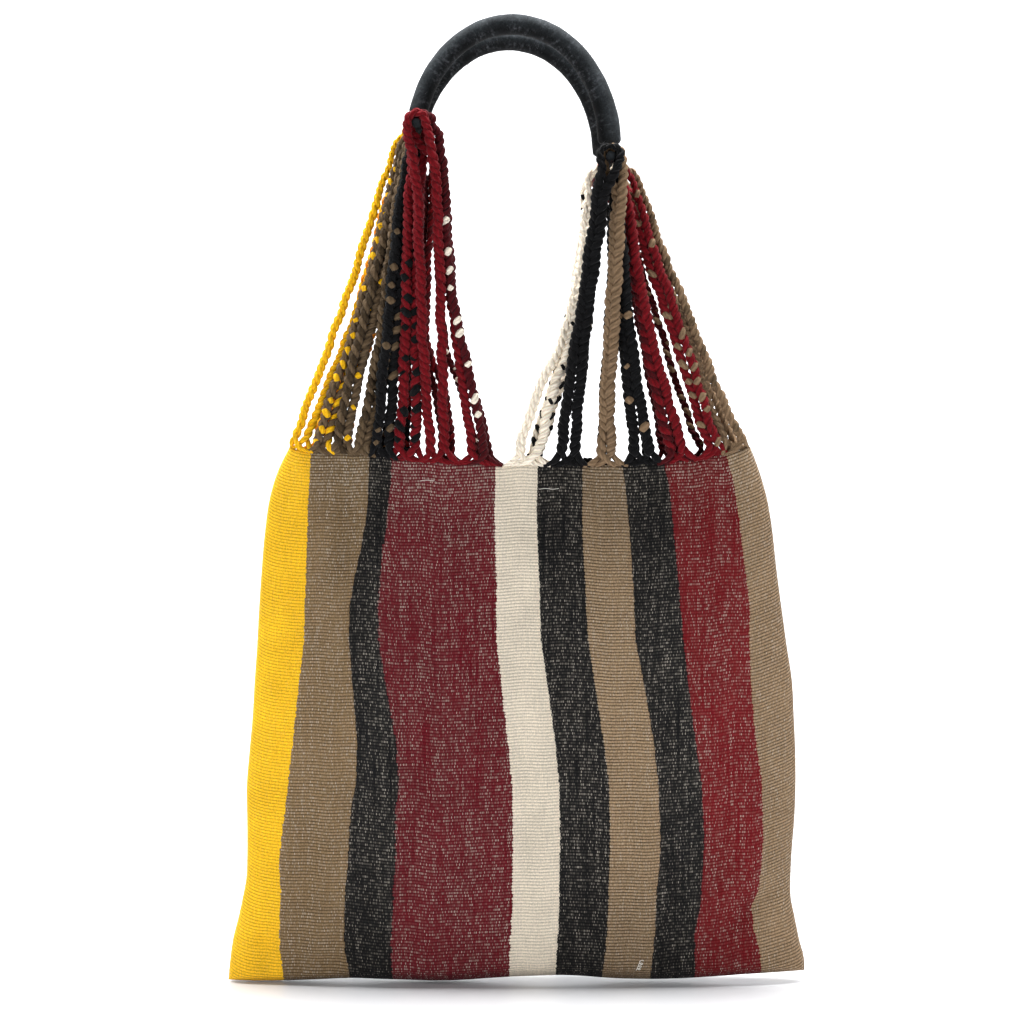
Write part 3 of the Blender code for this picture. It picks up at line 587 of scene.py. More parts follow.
class Finish:
    """A material, and the one method that adds any node to it."""

    def __init__(self, name, specular=0.5, **shader_values):
        self.material = bpy.data.materials.new(name)
        self.material.use_nodes = True
        self.tree = self.material.node_tree
        self.shader = self.tree.nodes["Principled BSDF"]
        self.shader.inputs["Specular IOR Level"].default_value = specular
        for label, value in shader_values.items():
            self.shader.inputs[label.replace("_", " ").title()].default_value = value

    def feed(self, socket, value):
        """Link a wire to a socket, or set its value."""
        if isinstance(value, Wire):
            self.tree.links.new(value.socket, socket)
        else:
            socket.default_value = value

    def node(self, kind, settings=(), inputs=(), output=0):
        """Add a node: its settings first, then the values or wires of its sockets."""
        node = self.tree.nodes.new(kind)
        for label, value in dict(settings).items():
            if label == "stops":
                self.fill_ramp(node.color_ramp, value)
            else:
                setattr(node, label, value)
        for label, value in dict(inputs).items():
            self.feed(node.inputs[label], value)
        return Wire(self, node.outputs[output])

    def fill_ramp(self, ramp, stops):
        """Stops are (place, colour) in order, and each holds until the next."""
        ramp.interpolation = "CONSTANT"
        while len(ramp.elements) < len(stops):
            ramp.elements.new(1.0)
        for element, (place, colour) in zip(ramp.elements, stops):
            element.position = place
            element.color = colour

    def split(self, vector):
        """The three numbers of a vector."""
        first = self.node("ShaderNodeSeparateXYZ", inputs={0: vector})
        return [Wire(self, output) for output in first.socket.node.outputs]

    def join(self, x, y, z=0.0):
        """A vector of three numbers."""
        return self.node("ShaderNodeCombineXYZ", inputs={0: x, 1: y, 2: z})

    def attribute(self, name):
        """The notes of a mesh, as Skin.add writes them."""
        return self.node("ShaderNodeAttribute", {"attribute_name": name}, output="Vector")

    def place(self):
        """Object coordinates, in metres."""
        return self.node("ShaderNodeTexCoord", output="Object")

    def noise(self, vector, scale, detail=2.0, rough=0.5):
        """Soft noise round 0.5, with detail octaves."""
        inputs = {"Vector": vector, "Scale": scale, "Detail": detail, "Roughness": rough}
        return self.node("ShaderNodeTexNoise", {"noise_dimensions": "3D"}, inputs, "Fac")

    def field(self, row, across, along):
        """The noise that a row of numbers names: its rates across and along, its third coordinate, its
        detail and its roughness."""
        wide, high, third, detail, rough = row
        return self.noise(self.join(across * wide, along * high, third), 1.0, detail, rough)

    def chance(self, vector):
        """A random number from 0 to 1 for each whole-number place."""
        settings = {"noise_dimensions": "3D"}
        return self.node("ShaderNodeTexWhiteNoise", settings, {"Vector": vector}, "Value")

    def blend(self, share, first, second):
        """Mix two colours."""
        settings = {"data_type": "RGBA", "clamp_factor": True}
        return self.node("ShaderNodeMix", settings, {0: share, 6: first, 7: second}, 2)

    def shade(self, colour, amount):
        """A colour times a number."""
        inputs = {0: colour, "Scale": amount}
        return self.node("ShaderNodeVectorMath", {"operation": "SCALE"}, inputs)

    def bump(self, height, depth, strength=1.0):
        """Raise the surface by height, in metres for a height of 1."""
        inputs = {"Strength": strength, "Distance": depth, "Height": height}
        return self.node("ShaderNodeBump", inputs=inputs)

    def done(self, colour, normal=None):
        """Feed the shader and give the material."""
        self.feed(self.shader.inputs["Base Color"], colour)
        if normal is not None:
            self.feed(self.shader.inputs["Normal"], normal)
        return self.material


def stripe_ramp(finish, place, values):
    """Read a value for each stripe: constant steps from one border's whole number to the next."""
    stops = [(i / len(STRIPES), value) for i, value in enumerate(values)]
    return finish.node("ShaderNodeValToRGB", {"stops": stops}, {0: place / len(STRIPES)})


def striped_weave():
    """Warp-faced rib weave. Half a sine makes each rib's crest, and thin grooves with painted shade
    part the ribs. The pale weft shows as one small speck in each cell of a brick pattern, brighter by
    chance, in streaks and near the top edge. A stripe's border steps sideways a little from rib to rib.
    Painted shade darkens the cloth toward its top and bottom."""
    finish = Finish("striped_weave", 0.12, roughness=0.95, sheen_weight=0.03, sheen_roughness=0.6)
    across, along, stripe = finish.split(finish.attribute("weave"))
    sag = finish.field(WEAVE_NOISES["sag"], across, along)
    ribs = along / RIB + sag * RIB_SAG
    row = ribs.floor()
    crest = (ribs.fraction() * 0.5).sine()
    # Painted shade in the grooves between the ribs
    groove_shade = (1.0 - crest) ** GROOVE_SHARPNESS
    own = finish.chance(finish.join(row, 0.0, 3.0))

    step = (own - 0.5) * BORDER_STEP + (crest - 0.5) * BORDER_BOW
    place = stripe + step / BORDER_WIDTH
    dye = stripe_ramp(finish, place, [linear(DYES[name][0]) for name in STRIPES])
    traits = [(*DYES[name][1:], 1.0) for name in STRIPES]
    show, depth, end_shade = finish.split(stripe_ramp(finish, place, traits))

    column = across / SPECK_STEP + row * 0.5 + own * SPECK_SHIFT
    luck = finish.chance(finish.join(column.floor(), row))
    grain = finish.field(WEAVE_NOISES["grain"], across, along)
    dot = (column.fraction() * 0.5).sine()
    streak = finish.field(WEAVE_NOISES["streak"], across, along)
    patch = finish.field(WEAVE_NOISES["patch"], across, along)
    from_top = along.least(2.0 * PANEL_LENGTH - along)
    near_top = (1.4 - from_top / TOP_SHINE).clamped()
    mark = (dot ** 3.0 * crest * 3.0 - 0.9).clamped()
    gleam = 0.12 + 1.25 * luck ** 3.0 + near_top * luck * 0.5
    gleam = gleam * ((streak - 0.28) * 2.6 + near_top * 0.3).clamped() * (0.55 + patch * 1.0)
    # Painted shade: the cloth is darkest near its top and bottom and lightest halfway down, by each
    # dye's share
    middle = (from_top * (0.5 / PANEL_LENGTH)).sine()
    falloff = 1.0 - end_shade * (1.0 - middle)
    speck = (mark * gleam * falloff * show * SPECK_GAIN).clamped()

    thread = finish.field(WEAVE_NOISES["thread"], across, along)
    cloud = finish.field(WEAVE_NOISES["cloud"], across, along)
    tone = (0.63 + 0.40 * thread + 0.36 * cloud + (grain - 0.5) * depth * GRAIN_GAIN) * falloff
    # Painted shade: the tone darkens in the grooves between the ribs, more where the patch noise is
    # high
    tone = tone * (1.06 - groove_shade * depth * (0.55 + 0.75 * patch))
    weft = finish.blend(WEFT_DYE_SHARE, linear(WEFT_COLOUR), dye)
    colour = finish.blend(speck, finish.shade(dye, tone), weft)
    height = crest ** 0.7 + thread * 0.4 + speck * 0.4
    return finish.done(colour, finish.bump(height, WEAVE_RELIEF, 0.8))


def rope_yarn(name):
    """Soft cotton yarns twisted along each ply: a sine of the way round and along makes diagonal
    grooves, with painted shade in them, and noises make the dye uneven."""
    finish = Finish("yarn_" + name, 0.12, roughness=0.95, sheen_weight=0.05, sheen_roughness=0.55)
    along, around, part = finish.split(finish.attribute("twist"))
    wobble = finish.noise(finish.join(along * 0.3, part), 1.0, 1.0)
    yarns = (around * YARNS_ROUND + along / YARN_PITCH + wobble * 0.6).sine()
    fuzz = finish.noise(finish.place(), 2400.0, 2.0, 0.6)
    blotch = finish.noise(finish.join(along * 0.05, part * 3.0), 1.0, 2.0)
    # The yarns' sine darkens the tone in the grooves as painted shade; fuzz and blotch make the dye
    # uneven
    tone = 1.02 + 0.17 * yarns + 0.75 * (fuzz - 0.5) + 0.45 * (blotch - 0.5)
    colour = finish.shade(linear(ROPE_DYES[name])[:3], tone)
    height = yarns * 0.5 + fuzz * 0.8
    return finish.done(colour, finish.bump(height, YARN_RELIEF, 0.9))


def handle_cover():
    """Dull black cotton cloth, fuzzy, faded in patches and linty, with painted shade on the arch's
    inner side. Two crossed sines make its plain weave."""
    finish = Finish("handle_cover", 0.15, roughness=0.93, sheen_weight=0.05, sheen_roughness=0.45)
    along, around, outer = finish.split(finish.attribute("wrap"))
    place = finish.place()
    weave = (along / COVER_THREAD).sine() * (around * COVER_THREADS_ROUND).sine()
    fuzz = finish.noise(place, 900.0, 3.0, 0.65)
    cloud = finish.noise(place, 55.0, 3.0, 0.6)
    streak = finish.noise(finish.join(along * 0.35, around * 9.0), 1.0, 3.0, 0.7)
    lint = ((streak - 0.50) * 5.0).clamped() * ((cloud - 0.40) * 5.0).clamped() * outer
    # Painted shade on the inner side of the arch, less on the bars and necks
    inward = (around.sine() * 1.3 + 0.3).clamped()
    tone = 0.90 + 2.6 * (fuzz - 0.5) + 1.5 * (cloud - 0.45) + 0.9 * outer * cloud
    tone = tone * (1.0 - INNER_SHADE * inward * outer)
    base = finish.shade(linear(COVER_COLOUR)[:3], tone)
    colour = finish.blend(lint * LINT_SHOW, base, linear(LINT_COLOUR))
    height = weave * 0.25 + fuzz * 0.9 + cloud * 0.6
    return finish.done(colour, finish.bump(height, COVER_RELIEF, 0.7))


def plain_thread(name, printed):
    """A single thread or fibre: one dye with fine uneven tone."""
    finish = Finish(name, roughness=0.9)
    fuzz = finish.noise(finish.place(), 1500.0, 2.0)
    return finish.done(finish.shade(linear(printed)[:3], 0.85 + 0.3 * fuzz))


# Meshes from grids


class Skin:
    """Gathers grids of points into one mesh. A grid's rows and columns are its two parameters."""

    def __init__(self):
        self.grids = []
        self.count = 0

    def add(self, points, notes, share=None, finish=0):
        """Join each point to the next in its row and in its column. share gives each grid place the
        index of the point it uses, notes are the three numbers that the material reads there, and
        finish is a material index or one for each row of faces."""
        rows, columns = points.shape[:2]
        if share is None:
            share = np.arange(rows * columns).reshape(rows, columns)
        used, index = np.unique(share, return_inverse=True)
        index = index.reshape(rows, columns) + self.count
        here, onward = slice(None, -1), slice(1, None)
        corners = [(here, here), (onward, here), (onward, onward), (here, onward)]
        self.grids.append((points.reshape(-1, 3)[used],
                           np.stack([index[c] for c in corners], axis=-1).reshape(-1, 4),
                           np.stack([notes[c] for c in corners], axis=2).reshape(-1, 4, 3),
                           np.repeat(np.broadcast_to(finish, rows - 1), columns - 1)))
        self.count += len(used)

    def piece(self, name, note, materials):
        """Make the object. A quad whose upper or lower corners are one point becomes a triangle."""
        points, quads, notes, finishes = (np.concatenate(part) for part in zip(*self.grids))
        keep = np.ones(quads.shape, dtype=bool)
        keep[:, 3] = quads[:, 0] != quads[:, 3]
        keep[:, 2] = quads[:, 1] != quads[:, 2]
        sizes = keep.sum(axis=1)
        data = bpy.data.meshes.new(name)
        data.vertices.add(len(points))
        data.vertices.foreach_set("co", (points * MM).ravel())
        data.loops.add(int(sizes.sum()))
        data.loops.foreach_set("vertex_index", quads[keep].astype(np.int32))
        data.polygons.add(len(quads))
        data.polygons.foreach_set("loop_start", (np.cumsum(sizes) - sizes).astype(np.int32))
        data.update(calc_edges=True)
        layer = data.attributes.new(note, "FLOAT_VECTOR", "CORNER")
        layer.data.foreach_set("vector", notes[keep].astype(np.float32).ravel())
        for material in materials:
            data.materials.append(material)
        data.polygons.foreach_set("material_index", finishes.astype(np.int32))
        data.shade_smooth()
        data.validate()
        obj = bpy.data.objects.new(name, data)
        bpy.context.scene.collection.objects.link(obj)
        return obj


def unit(vectors):
    """Each vector divided by its length."""
    return vectors / np.maximum(np.linalg.norm(vectors, axis=-1, keepdims=True), TINY)


def across_path(path):
    """Two directions across a path at each point: the part of Y square to it, and the one square to
    both."""
    ahead = unit(np.gradient(path, axis=0))
    first = unit(Y_AXIS - ahead[:, 1:2] * ahead)
    return first, np.cross(ahead, first)


def run_length(path):
    """Distance walked along a path up to each point."""
    steps = np.linalg.norm(np.diff(path, axis=0), axis=1)
    return np.concatenate([[0.0], np.cumsum(steps)])


def add_tube(skin, path, ring, along, mark, finish=0):
    """Add rings of points round a path. The first and last column are one, and the ends close on one
    point each. The notes are along, the share of the way round and the mark."""
    columns = ring.shape[1]
    caps = [np.broadcast_to(path[end], (1, columns, 3)) for end in (0, -1)]
    points = np.concatenate([caps[0], ring, caps[1]])
    share = np.arange(points.shape[0] * columns).reshape(-1, columns)
    share[:, -1] = share[:, 0]
    share[0] = share[0, 0]
    share[-1] = share[-1, 0]
    notes = np.empty(points.shape)
    notes[..., 0] = np.concatenate([along[:1], along, along[-1:]])[:, None]
    notes[..., 1] = np.linspace(0.0, 1.0, columns)
    notes[..., 2] = mark
    if not np.isscalar(finish):
        finish = np.concatenate([finish[:1], finish])
    skin.add(points, notes, share, finish)


def add_sweep(skin, path, radii, sides, mark=0.0, finish=0, lumps=1.0):
    """Carry a round section along a path: at each point of the path, points at even angles on a
    circle across it. lumps scales the radius by row and angle."""
    first, second = across_path(path)
    angle = np.linspace(0.0, -2.0 * math.pi, sides + 1)
    reach = np.broadcast_to(np.reshape(radii, (-1, 1)), (len(path), sides + 1)) * lumps
    ring = (path[:, None] + (reach * np.cos(angle))[..., None] * first[:, None]
            + (reach * np.sin(angle))[..., None] * second[:, None])
    add_tube(skin, path, ring, run_length(path), mark, finish)


def add_bar(skin, path, radii):
    """A round bar along Y: circles in upright planes, wound to face outward."""
    angle = np.linspace(0.0, 2.0 * math.pi, BAR_SIDES + 1)
    if path[-1, 1] > path[0, 1]:
        angle = -angle
    circle = np.stack([np.cos(angle), np.zeros_like(angle), -np.sin(angle)], axis=-1)
    add_tube(skin, path, path[:, None] + radii[:, None, None] * circle, path[:, 1], BAR_MARK)


def fibre_line(root, way, curl, length):
    """A fibre's line: straight along its way at first, and bent by its curl with the square of the
    distance. Also the distance as a share."""
    t = np.linspace(0.0, 1.0, FIBRE_RINGS)[:, None]
    return root + length * (t * way + t**2 * curl), t[:, 0]


def add_fibres(skin, count, path, radii, dye):
    """Stray fibres: each starts just inside a tube's surface, leans away at random and curves over."""
    first, second = across_path(path)
    ahead = unit(np.gradient(path, axis=0))
    at = DICE.integers(4, len(path) - 4, count)
    angle = DICE.uniform(0.0, 2.0 * math.pi, (count, 1))
    out = np.cos(angle) * first[at] + np.sin(angle) * second[at]
    roots = path[at] + out * (FIBRE_ROOT * radii[at])[:, None]
    lean = out * DICE.uniform(*FIBRE_LEANS, (count, 1))
    ways = unit(lean + ahead[at] * DICE.uniform(-1.0, 1.0, (count, 1)))
    curls = FIBRE_CURL * unit(DICE.normal(size=(count, 3)))
    lengths = DICE.uniform(*FIBRE_LENGTHS, count)
    for fibre in zip(roots, ways, curls, lengths):
        line, t = fibre_line(*fibre)
        add_sweep(skin, line, FIBRE_RADIUS * (1.0 - 0.5 * t), 3, finish=dye)


# Cloth


def smooth_curve(table, column, at):
    """Read one column of a table as a smooth curve: cubic pieces whose slopes join at the rows."""
    rows = np.array(sorted(table))
    return smooth_values(rows[:, 0], rows[:, column], at)


def smooth_values(knots, values, at):
    """Cubic pieces through the values at the knots, with slopes taken from their neighbours."""
    slopes = np.gradient(values, knots, axis=0)
    at = np.clip(at, knots[0], knots[-1])
    i = np.clip(np.searchsorted(knots, at) - 1, 0, len(knots) - 2)
    span = knots[i + 1] - knots[i]
    t = (at - knots[i]) / span
    if values.ndim > 1:
        span = span[:, None]
        t = t[:, None]
    start = (2 * t**3 - 3 * t**2 + 1) * values[i] + (t**3 - 2 * t**2 + t) * span * slopes[i]
    end = (3 * t**2 - 2 * t**3) * values[i + 1] + (t**3 - t**2) * span * slopes[i + 1]
    return start + end


def fold_lift(folds, x, z):
    """Sum the soft folds: each is a ridge or trough that fades along and across its direction by a
    bell curve."""
    total = np.zeros_like(x)
    for row in folds:
        fold = dict(zip(FOLD_COLUMNS, row))
        angle = math.radians(fold["angle"])
        dx = x - fold["x"]
        dz = z - fold["z"]
        along = (dx * math.cos(angle) + dz * math.sin(angle)) / fold["length"]
        across = (dz * math.cos(angle) - dx * math.sin(angle)) / fold["width"]
        total += fold["lift"] * np.exp(-(along**2) - across**2)
    return total


def round_share(place, power=FLATNESS):
    """Half depth of a level section as a share of the middle's, by a rounded oval of that power: flat
    in front and round at the seams."""
    return np.sqrt(np.clip(1.0 - np.abs(place) ** power, 0.0, 1.0))


def ripple_lift(x, z, side):
    """Sum of slow waves across and down the cloth."""
    waves = [height * np.sin(2 * math.pi * (x / wide + z / high + start + 0.25 * side))
             for wide, high, start, height in RIPPLES]
    return sum(waves)


def pucker_lift(x, z, top, side):
    """Small folds under the gathers at the top edge: a cosine between neighbouring rope pairs that
    fades with the distance below the edge."""
    bases = sorted(row[0] for place, table in ROPES.items() for row in table.values()
                   if HANDLES[place[0]]["side"] == side)
    number = np.interp(x, bases, np.arange(len(bases)))
    return PUCKER_DEPTH * np.cos(2 * math.pi * number) * np.exp((z - top) / PUCKER_REACH)


def panel_edges(place):
    """Heights of the panel's top edge and of its bottom, and the radius of the bend between the
    bottom and the upright cloth."""
    bend = SEAM_HALF + (BOTTOM_RISE - SEAM_HALF) * round_share(place)
    return smooth_curve(TOP_EDGE, 1, place), smooth_curve(BOTTOM_EDGE, 1, place), bend


def panel_points(place, drop, angle, side, dressed=True):
    """Points of one panel. place runs from seam to seam, drop from the top edge to the start of the
    bottom's bend, angle round that bend, and side is -1 for the front and 1 for the back."""
    share = round_share(place)
    top, bottom, bend = panel_edges(place)
    height = top + (bottom + bend - top) * drop - bend * np.sin(angle)
    left, right = (smooth_curve(SIDE_EDGES, column, height) for column in (1, 2))
    x = 0.5 * (left + right) + 0.5 * (right - left) * place
    depth = smooth_curve(HALF_DEPTH, 1, height) * share
    falloff = np.clip((share - FOLD_FADE_START) / FOLD_FADE, 0.0, 1.0)
    lift = fold_lift(FRONT_FOLDS if side < 0 else BACK_FOLDS, x, height)
    if dressed:
        lift = lift + ripple_lift(x, height, side) + pucker_lift(x, height, top, side)
    seam = SEAM_HALF * round_share(place, SEAM_ROUNDNESS)
    depth = np.maximum(depth + lift * falloff, 0.0) + seam
    return np.stack([x, side * depth * np.cos(angle), height], axis=-1)


def stripe_place(x, z):
    """Which stripe a point is in: border k has the value k, and the values between two borders grow
    evenly with x. Outside the first and last border they go on at the mean stripe's rate."""
    rows = np.array(sorted(STRIPE_BORDERS))
    z = np.clip(z, rows[0, 0], rows[-1, 0])
    borders = [np.interp(z, rows[:, 0], rows[:, k]) for k in range(1, rows.shape[1])]
    place = 1.0 + np.minimum(x - borders[0], 0.0) / BORDER_WIDTH
    for low, high in zip(borders[:-1], borders[1:]):
        place = place + np.clip((x - low) / (high - low), 0.0, 1.0)
    place = place + np.maximum(x - borders[-1], 0.0) / BORDER_WIDTH
    return np.clip(place, 0.05, len(STRIPES) - 0.05)


def make_body():
    """The bag's cloth as one grid: down the front, round the bottom and up the back. The two panels
    share the points of their seams. A Solidify modifier gives the cloth its thickness."""
    turn = np.linspace(-1.0, 1.0, BODY_COLUMNS + 1)
    place = COLUMN_CROWDING * np.sin(turn * math.pi / 2) + (1.0 - COLUMN_CROWDING) * turn
    drop = np.concatenate([np.linspace(0.0, 1.0, BODY_ROWS), np.ones(BODY_BEND_ROWS)])
    bend = np.linspace(0.0, math.pi / 2, BODY_BEND_ROWS + 1)[1:]
    angle = np.concatenate([np.zeros(BODY_ROWS), bend])
    grid = np.broadcast_arrays(place, drop[:, None], angle[:, None])
    front = panel_points(*grid, -1)
    points = np.concatenate([front, panel_points(*grid, 1)[::-1][1:]])
    rows, columns = grid[0].shape
    share = np.arange(points.shape[0] * columns).reshape(-1, columns)
    for edge in (0, -1):
        share[rows:, edge] = share[: rows - 1, edge][::-1]
    steps = np.linalg.norm(np.diff(front, axis=0), axis=-1)
    below = np.concatenate([np.cumsum(steps[::-1], axis=0)[::-1], np.zeros((1, columns))])
    notes = np.empty(points.shape)
    notes[..., 0] = points[..., 0]
    notes[..., 1] = np.concatenate([PANEL_LENGTH - below, (PANEL_LENGTH + below)[::-1][1:]])
    notes[..., 2] = stripe_place(points[..., 0], points[..., 2])
    skin = Skin()
    skin.add(points, notes, share)
    body = skin.piece("striped_cloth", "weave", [striped_weave()])
    wall = body.modifiers.new("cloth thickness", "SOLIDIFY")
    wall.thickness = CLOTH * MM
    wall.offset = -1.0
    wall.use_even_offset = True
    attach(body, "root")
    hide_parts("bag_body")


# Handles


def arch_points(handle, steps=ARCH_STEPS):
    """Centre line of a handle's tube, part of an upright ellipse, from its left end over the crown to
    its right end."""
    left = math.pi - math.asin((handle["left_z"] - ARCH_CENTRE_Z) / ARCH_RISE)
    right = math.asin((handle["right_z"] - ARCH_CENTRE_Z) / ARCH_RISE)
    turn = np.linspace(left, right, steps + 1)
    x = handle["shift_x"] + ARCH_HALF_WIDTH * np.cos(turn)
    z = handle["shift_z"] + ARCH_CENTRE_Z + ARCH_RISE * np.sin(turn)
    return np.stack([x, np.full_like(x, handle["side"] * HANDLE_Y), z], axis=-1)


def seat_radius(seat):
    """A rope's radius where it passes over the crossbar: only the outermost ones keep their own."""
    return ROPE_RADIUS if seat >= FIRST_FULL_SEAT else PINCHED_RADIUS


def seat_y(seat):
    """Place of a seat along the crossbar, measured from the neck outward from the bag's middle: the
    widths and gaps of the seats up to it, less half its own."""
    side = 1 if seat > 0 else -1
    widths = sum(2 * seat_radius(side * step) + GAP for step in range(1, abs(seat) + 1))
    return side * (NECK_RADIUS + widths - seat_radius(seat))


def bar_middle(name, end):
    """Middle of the crossbar at one end of a handle."""
    return arch_points(HANDLES[name])[0 if end == "left" else -1] - BAR_DROP[end] * Z_AXIS


def bar_span(name, end):
    """Both ends of a crossbar and the top of its neck."""
    side = HANDLES[name]["side"]
    middle = bar_middle(name, end)
    first_seat = min(row[-1] for row in ROPES[(name, end)].values())
    outer = seat_y(LAST_SEAT) + ROPE_RADIUS + BAR_END_MARGIN
    inner = seat_y(first_seat) - PINCHED_RADIUS - BAR_END_MARGIN
    neck_top = middle + (BAR_DROP[end] + NECK_INSET) * Z_AXIS
    return middle + side * inner * Y_AXIS, middle + side * outer * Y_AXIS, neck_top


def rounded_radii(walked, length, radius, corner):
    """Radii along a tube whose ends are rounded off: a quarter circle over the corner's length."""
    edge = np.clip(np.minimum(walked, length - walked) / corner, 0.0, 1.0)
    return radius - corner * (1.0 - np.sqrt(np.clip(1.0 - (1.0 - edge) ** 2, 0.0, 1.0)))


def make_handle(name, finishes):
    """A cloth-covered arch: a round tube with rounded ends, a little lumpy by sums of sines where the
    cloth lies over its padding, with ragged cuffs. The crossbars and necks at its ends are tubes of
    their own."""
    path = arch_points(HANDLES[name], TUBE_RINGS)
    walked = run_length(path)
    length = walked[-1]
    ends = TUBE_CORNER * (1.0 - np.cos(np.linspace(0.0, math.pi / 2, CORNER_RINGS)))
    inner = TUBE_CORNER + 0.1
    between = np.linspace(inner, length - inner, TUBE_RINGS)
    where = np.concatenate([ends, between, (length - ends)[::-1]])
    path = smooth_values(walked, path, where)
    radii = rounded_radii(where, length, TUBE_RADIUS, TUBE_CORNER)
    radii = radii + np.interp(where / length, TUBE_SHARES, TUBE_SWELL)
    angle = np.linspace(0.0, 2 * math.pi, TUBE_SIDES + 1)
    s = where[:, None]
    lumps = (0.99 + 0.010 * np.sin(s / 9.3 + 2 * np.sin(angle)) + 0.008 * np.sin(s / 4.1 + 3 * angle)
             + 0.006 * np.sin(s / 2.3 + 5 * angle + 1.3))
    frayed = np.exp(-np.minimum(s, length - s) / CUFF_REACH)
    lumps = lumps + CUFF_RAGGED * np.sin(5 * angle + 2.0 * np.sin(3 * angle)) * frayed
    skin = Skin()
    add_sweep(skin, path, radii, TUBE_SIDES, 1.0, lumps=lumps)
    for dye, count in enumerate(HANDLE_FIBRES):
        add_fibres(skin, count, path, radii, dye)
    for end in BAR_DROP:
        first, last, neck_top = bar_span(name, end)
        last = last - HANDLES[name]["side"] * BAR_RECESS * Y_AXIS
        bar = np.linspace(first, last, BAR_RINGS)
        walked = run_length(bar)
        add_bar(skin, bar, rounded_radii(walked, walked[-1], BAR_RADIUS, BAR_CORNER))
        neck = np.linspace(bar_middle(name, end), neck_top, NECK_RINGS)
        add_sweep(skin, neck, NECK_RADIUS, BAR_SIDES, BAR_MARK)
    obj = skin.piece(name + "_cover", "wrap", finishes)
    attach(obj, "root")
    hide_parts(name)


# Ropes, first as the CAD model lays them out


def rim(side):
    """The top edge of one panel, in the middle of its cloth: x, y and z in order of x."""
    place = np.linspace(-1.0, 1.0, RIM_STEPS)
    zero = np.zeros_like(place)
    return panel_points(place, zero, zero, side, dressed=False) - side * CLOTH / 2 * Y_AXIS


def rope_points(rope, name, end):
    """Closed centre line of a pair of legs with its radii, its marks (-1 for the left leg, 1 for the
    right one, 0 for the loop over the crossbar and the run along the cloth's edge) and which of its
    points are free to move. The legs follow the table's places in straight steps."""
    side = HANDLES[name]["side"]
    top_radius = seat_radius(rope["seat"])
    grip = BAR_RADIUS + top_radius + LOOP_CLEARANCE
    seat = bar_middle(name, end) + side * seat_y(rope["seat"]) * Y_AXIS
    edge = rim(side)
    under = edge[np.abs(edge[:, 0] - rope["base"]) < rope["base_half"] + ROPE_RADIUS]
    base_z = under[:, 2].max() + GAP + ROPE_RADIUS
    base_y = np.interp(rope["base"], edge[:, 0], edge[:, 1])
    low = base_z + LOWEST_LEVEL
    high = seat[2] - HIGHEST_LEVEL
    z = low + (high - low) * np.linspace(0.0, 1.0, LEVELS) ** LEVEL_SPACING
    middles = [rope[column] for column in ROPE_COLUMNS[:MIDDLE_COLUMNS]]
    halves = [max(rope["base_half"], MIN_HALF), rope["middle_half"], rope["middle_half"],
              rope["top_half"]]
    middle = np.interp(z, [base_z, *MIDDLE_Z, high], middles)
    half = np.interp(z, [base_z, MIDDLE_Z[1], MIDDLE_Z[-1], high], halves)
    y = np.interp(z, [base_z, seat[2]], [base_y, seat[1]])
    turn = np.linspace(math.pi, 0.0, LOOP_STEPS + 1)
    loop = seat + grip * np.stack([np.cos(turn), np.zeros_like(turn), np.sin(turn)], axis=-1)
    left = np.stack([middle - half, y, z], axis=-1)
    right = np.stack([middle + half, y, z], axis=-1)
    left[-1, 0] = min(left[-1, 0], seat[0] - LOOP_SPREAD * grip)
    right[-1, 0] = max(right[-1, 0], seat[0] + LOOP_SPREAD * grip)
    run = [[rope["base"] + leg * rope["base_half"], base_y, base_z] for leg in (-1, 1)]
    points = np.concatenate([run[:1], left, loop, right[::-1], run[1:]])
    pinch = np.clip((seat[2] - points[:, 2]) / PINCH_LENGTH, 0.0, 1.0)
    radii = top_radius + (ROPE_RADIUS - top_radius) * pinch
    marks = np.repeat([-1, 0, 1, 0], [LEVELS + 1, LOOP_STEPS, LEVELS + 1, 1])
    free = np.repeat([0, 1, 0, 1, 0], [1, LEVELS, LOOP_STEPS + 1, LEVELS, 1])
    return points, radii, marks, free


def closest_shares(start_a, span_a, start_b, span_b):
    """How far along each of two straight segments their closest points lie, from 0 to 1."""
    gap = start_a - start_b
    aa = (span_a * span_a).sum(1)
    bb = (span_b * span_b).sum(1)
    ab = (span_a * span_b).sum(1)
    ag = (span_a * gap).sum(1)
    bg = (span_b * gap).sum(1)
    share_a = np.clip((ab * bg - ag * bb) / np.maximum(aa * bb - ab * ab, TINY), 0.0, 1.0)
    share_b = np.clip((ab * share_a + bg) / bb, 0.0, 1.0)
    share_a = np.clip((ab * share_b - ag) / aa, 0.0, 1.0)
    return share_a, share_b


def segment_gaps(points, radii, first, second, a, b):
    """Free distance between each segment of a and that of b, its direction and the closest shares."""
    starts = [points[first[k]] for k in (a, b)]
    spans = [points[second[k]] - start for k, start in zip((a, b), starts)]
    shares = closest_shares(starts[0], spans[0], starts[1], spans[1])
    near_a, near_b = (start + share[:, None] * span
                      for start, share, span in zip(starts, shares, spans))
    thick_a, thick_b = (radii[first[k]] + share * (radii[second[k]] - radii[first[k]])
                        for k, share in zip((a, b), shares))
    away = near_a - near_b
    distance = np.linalg.norm(away, axis=1)
    return distance - thick_a - thick_b, away / distance[:, None], *shares


def push_apart(points, radii, first, second, a, b):
    """How far each point should move sideways for the too close segments of a and b to part."""
    gaps, away, share_a, share_b = segment_gaps(points, radii, first, second, a, b)
    need = np.maximum(SETTLE_GAP - gaps, 0.0)[:, None] * away
    need *= np.array([SIDE_GIVE, 1.0, 0.0])
    move = np.zeros_like(points)
    weight = np.full(len(points), TINY)
    for ends, share, sign in ((first[a], 1 - share_a, 1), (second[a], share_a, 1),
                              (first[b], 1 - share_b, -1), (second[b], share_b, -1)):
        np.add.at(move, ends, sign * share[:, None] * need)
        np.add.at(weight, ends, share * (gaps < SETTLE_GAP))
    return move / np.maximum(weight, 1.0)[:, None]


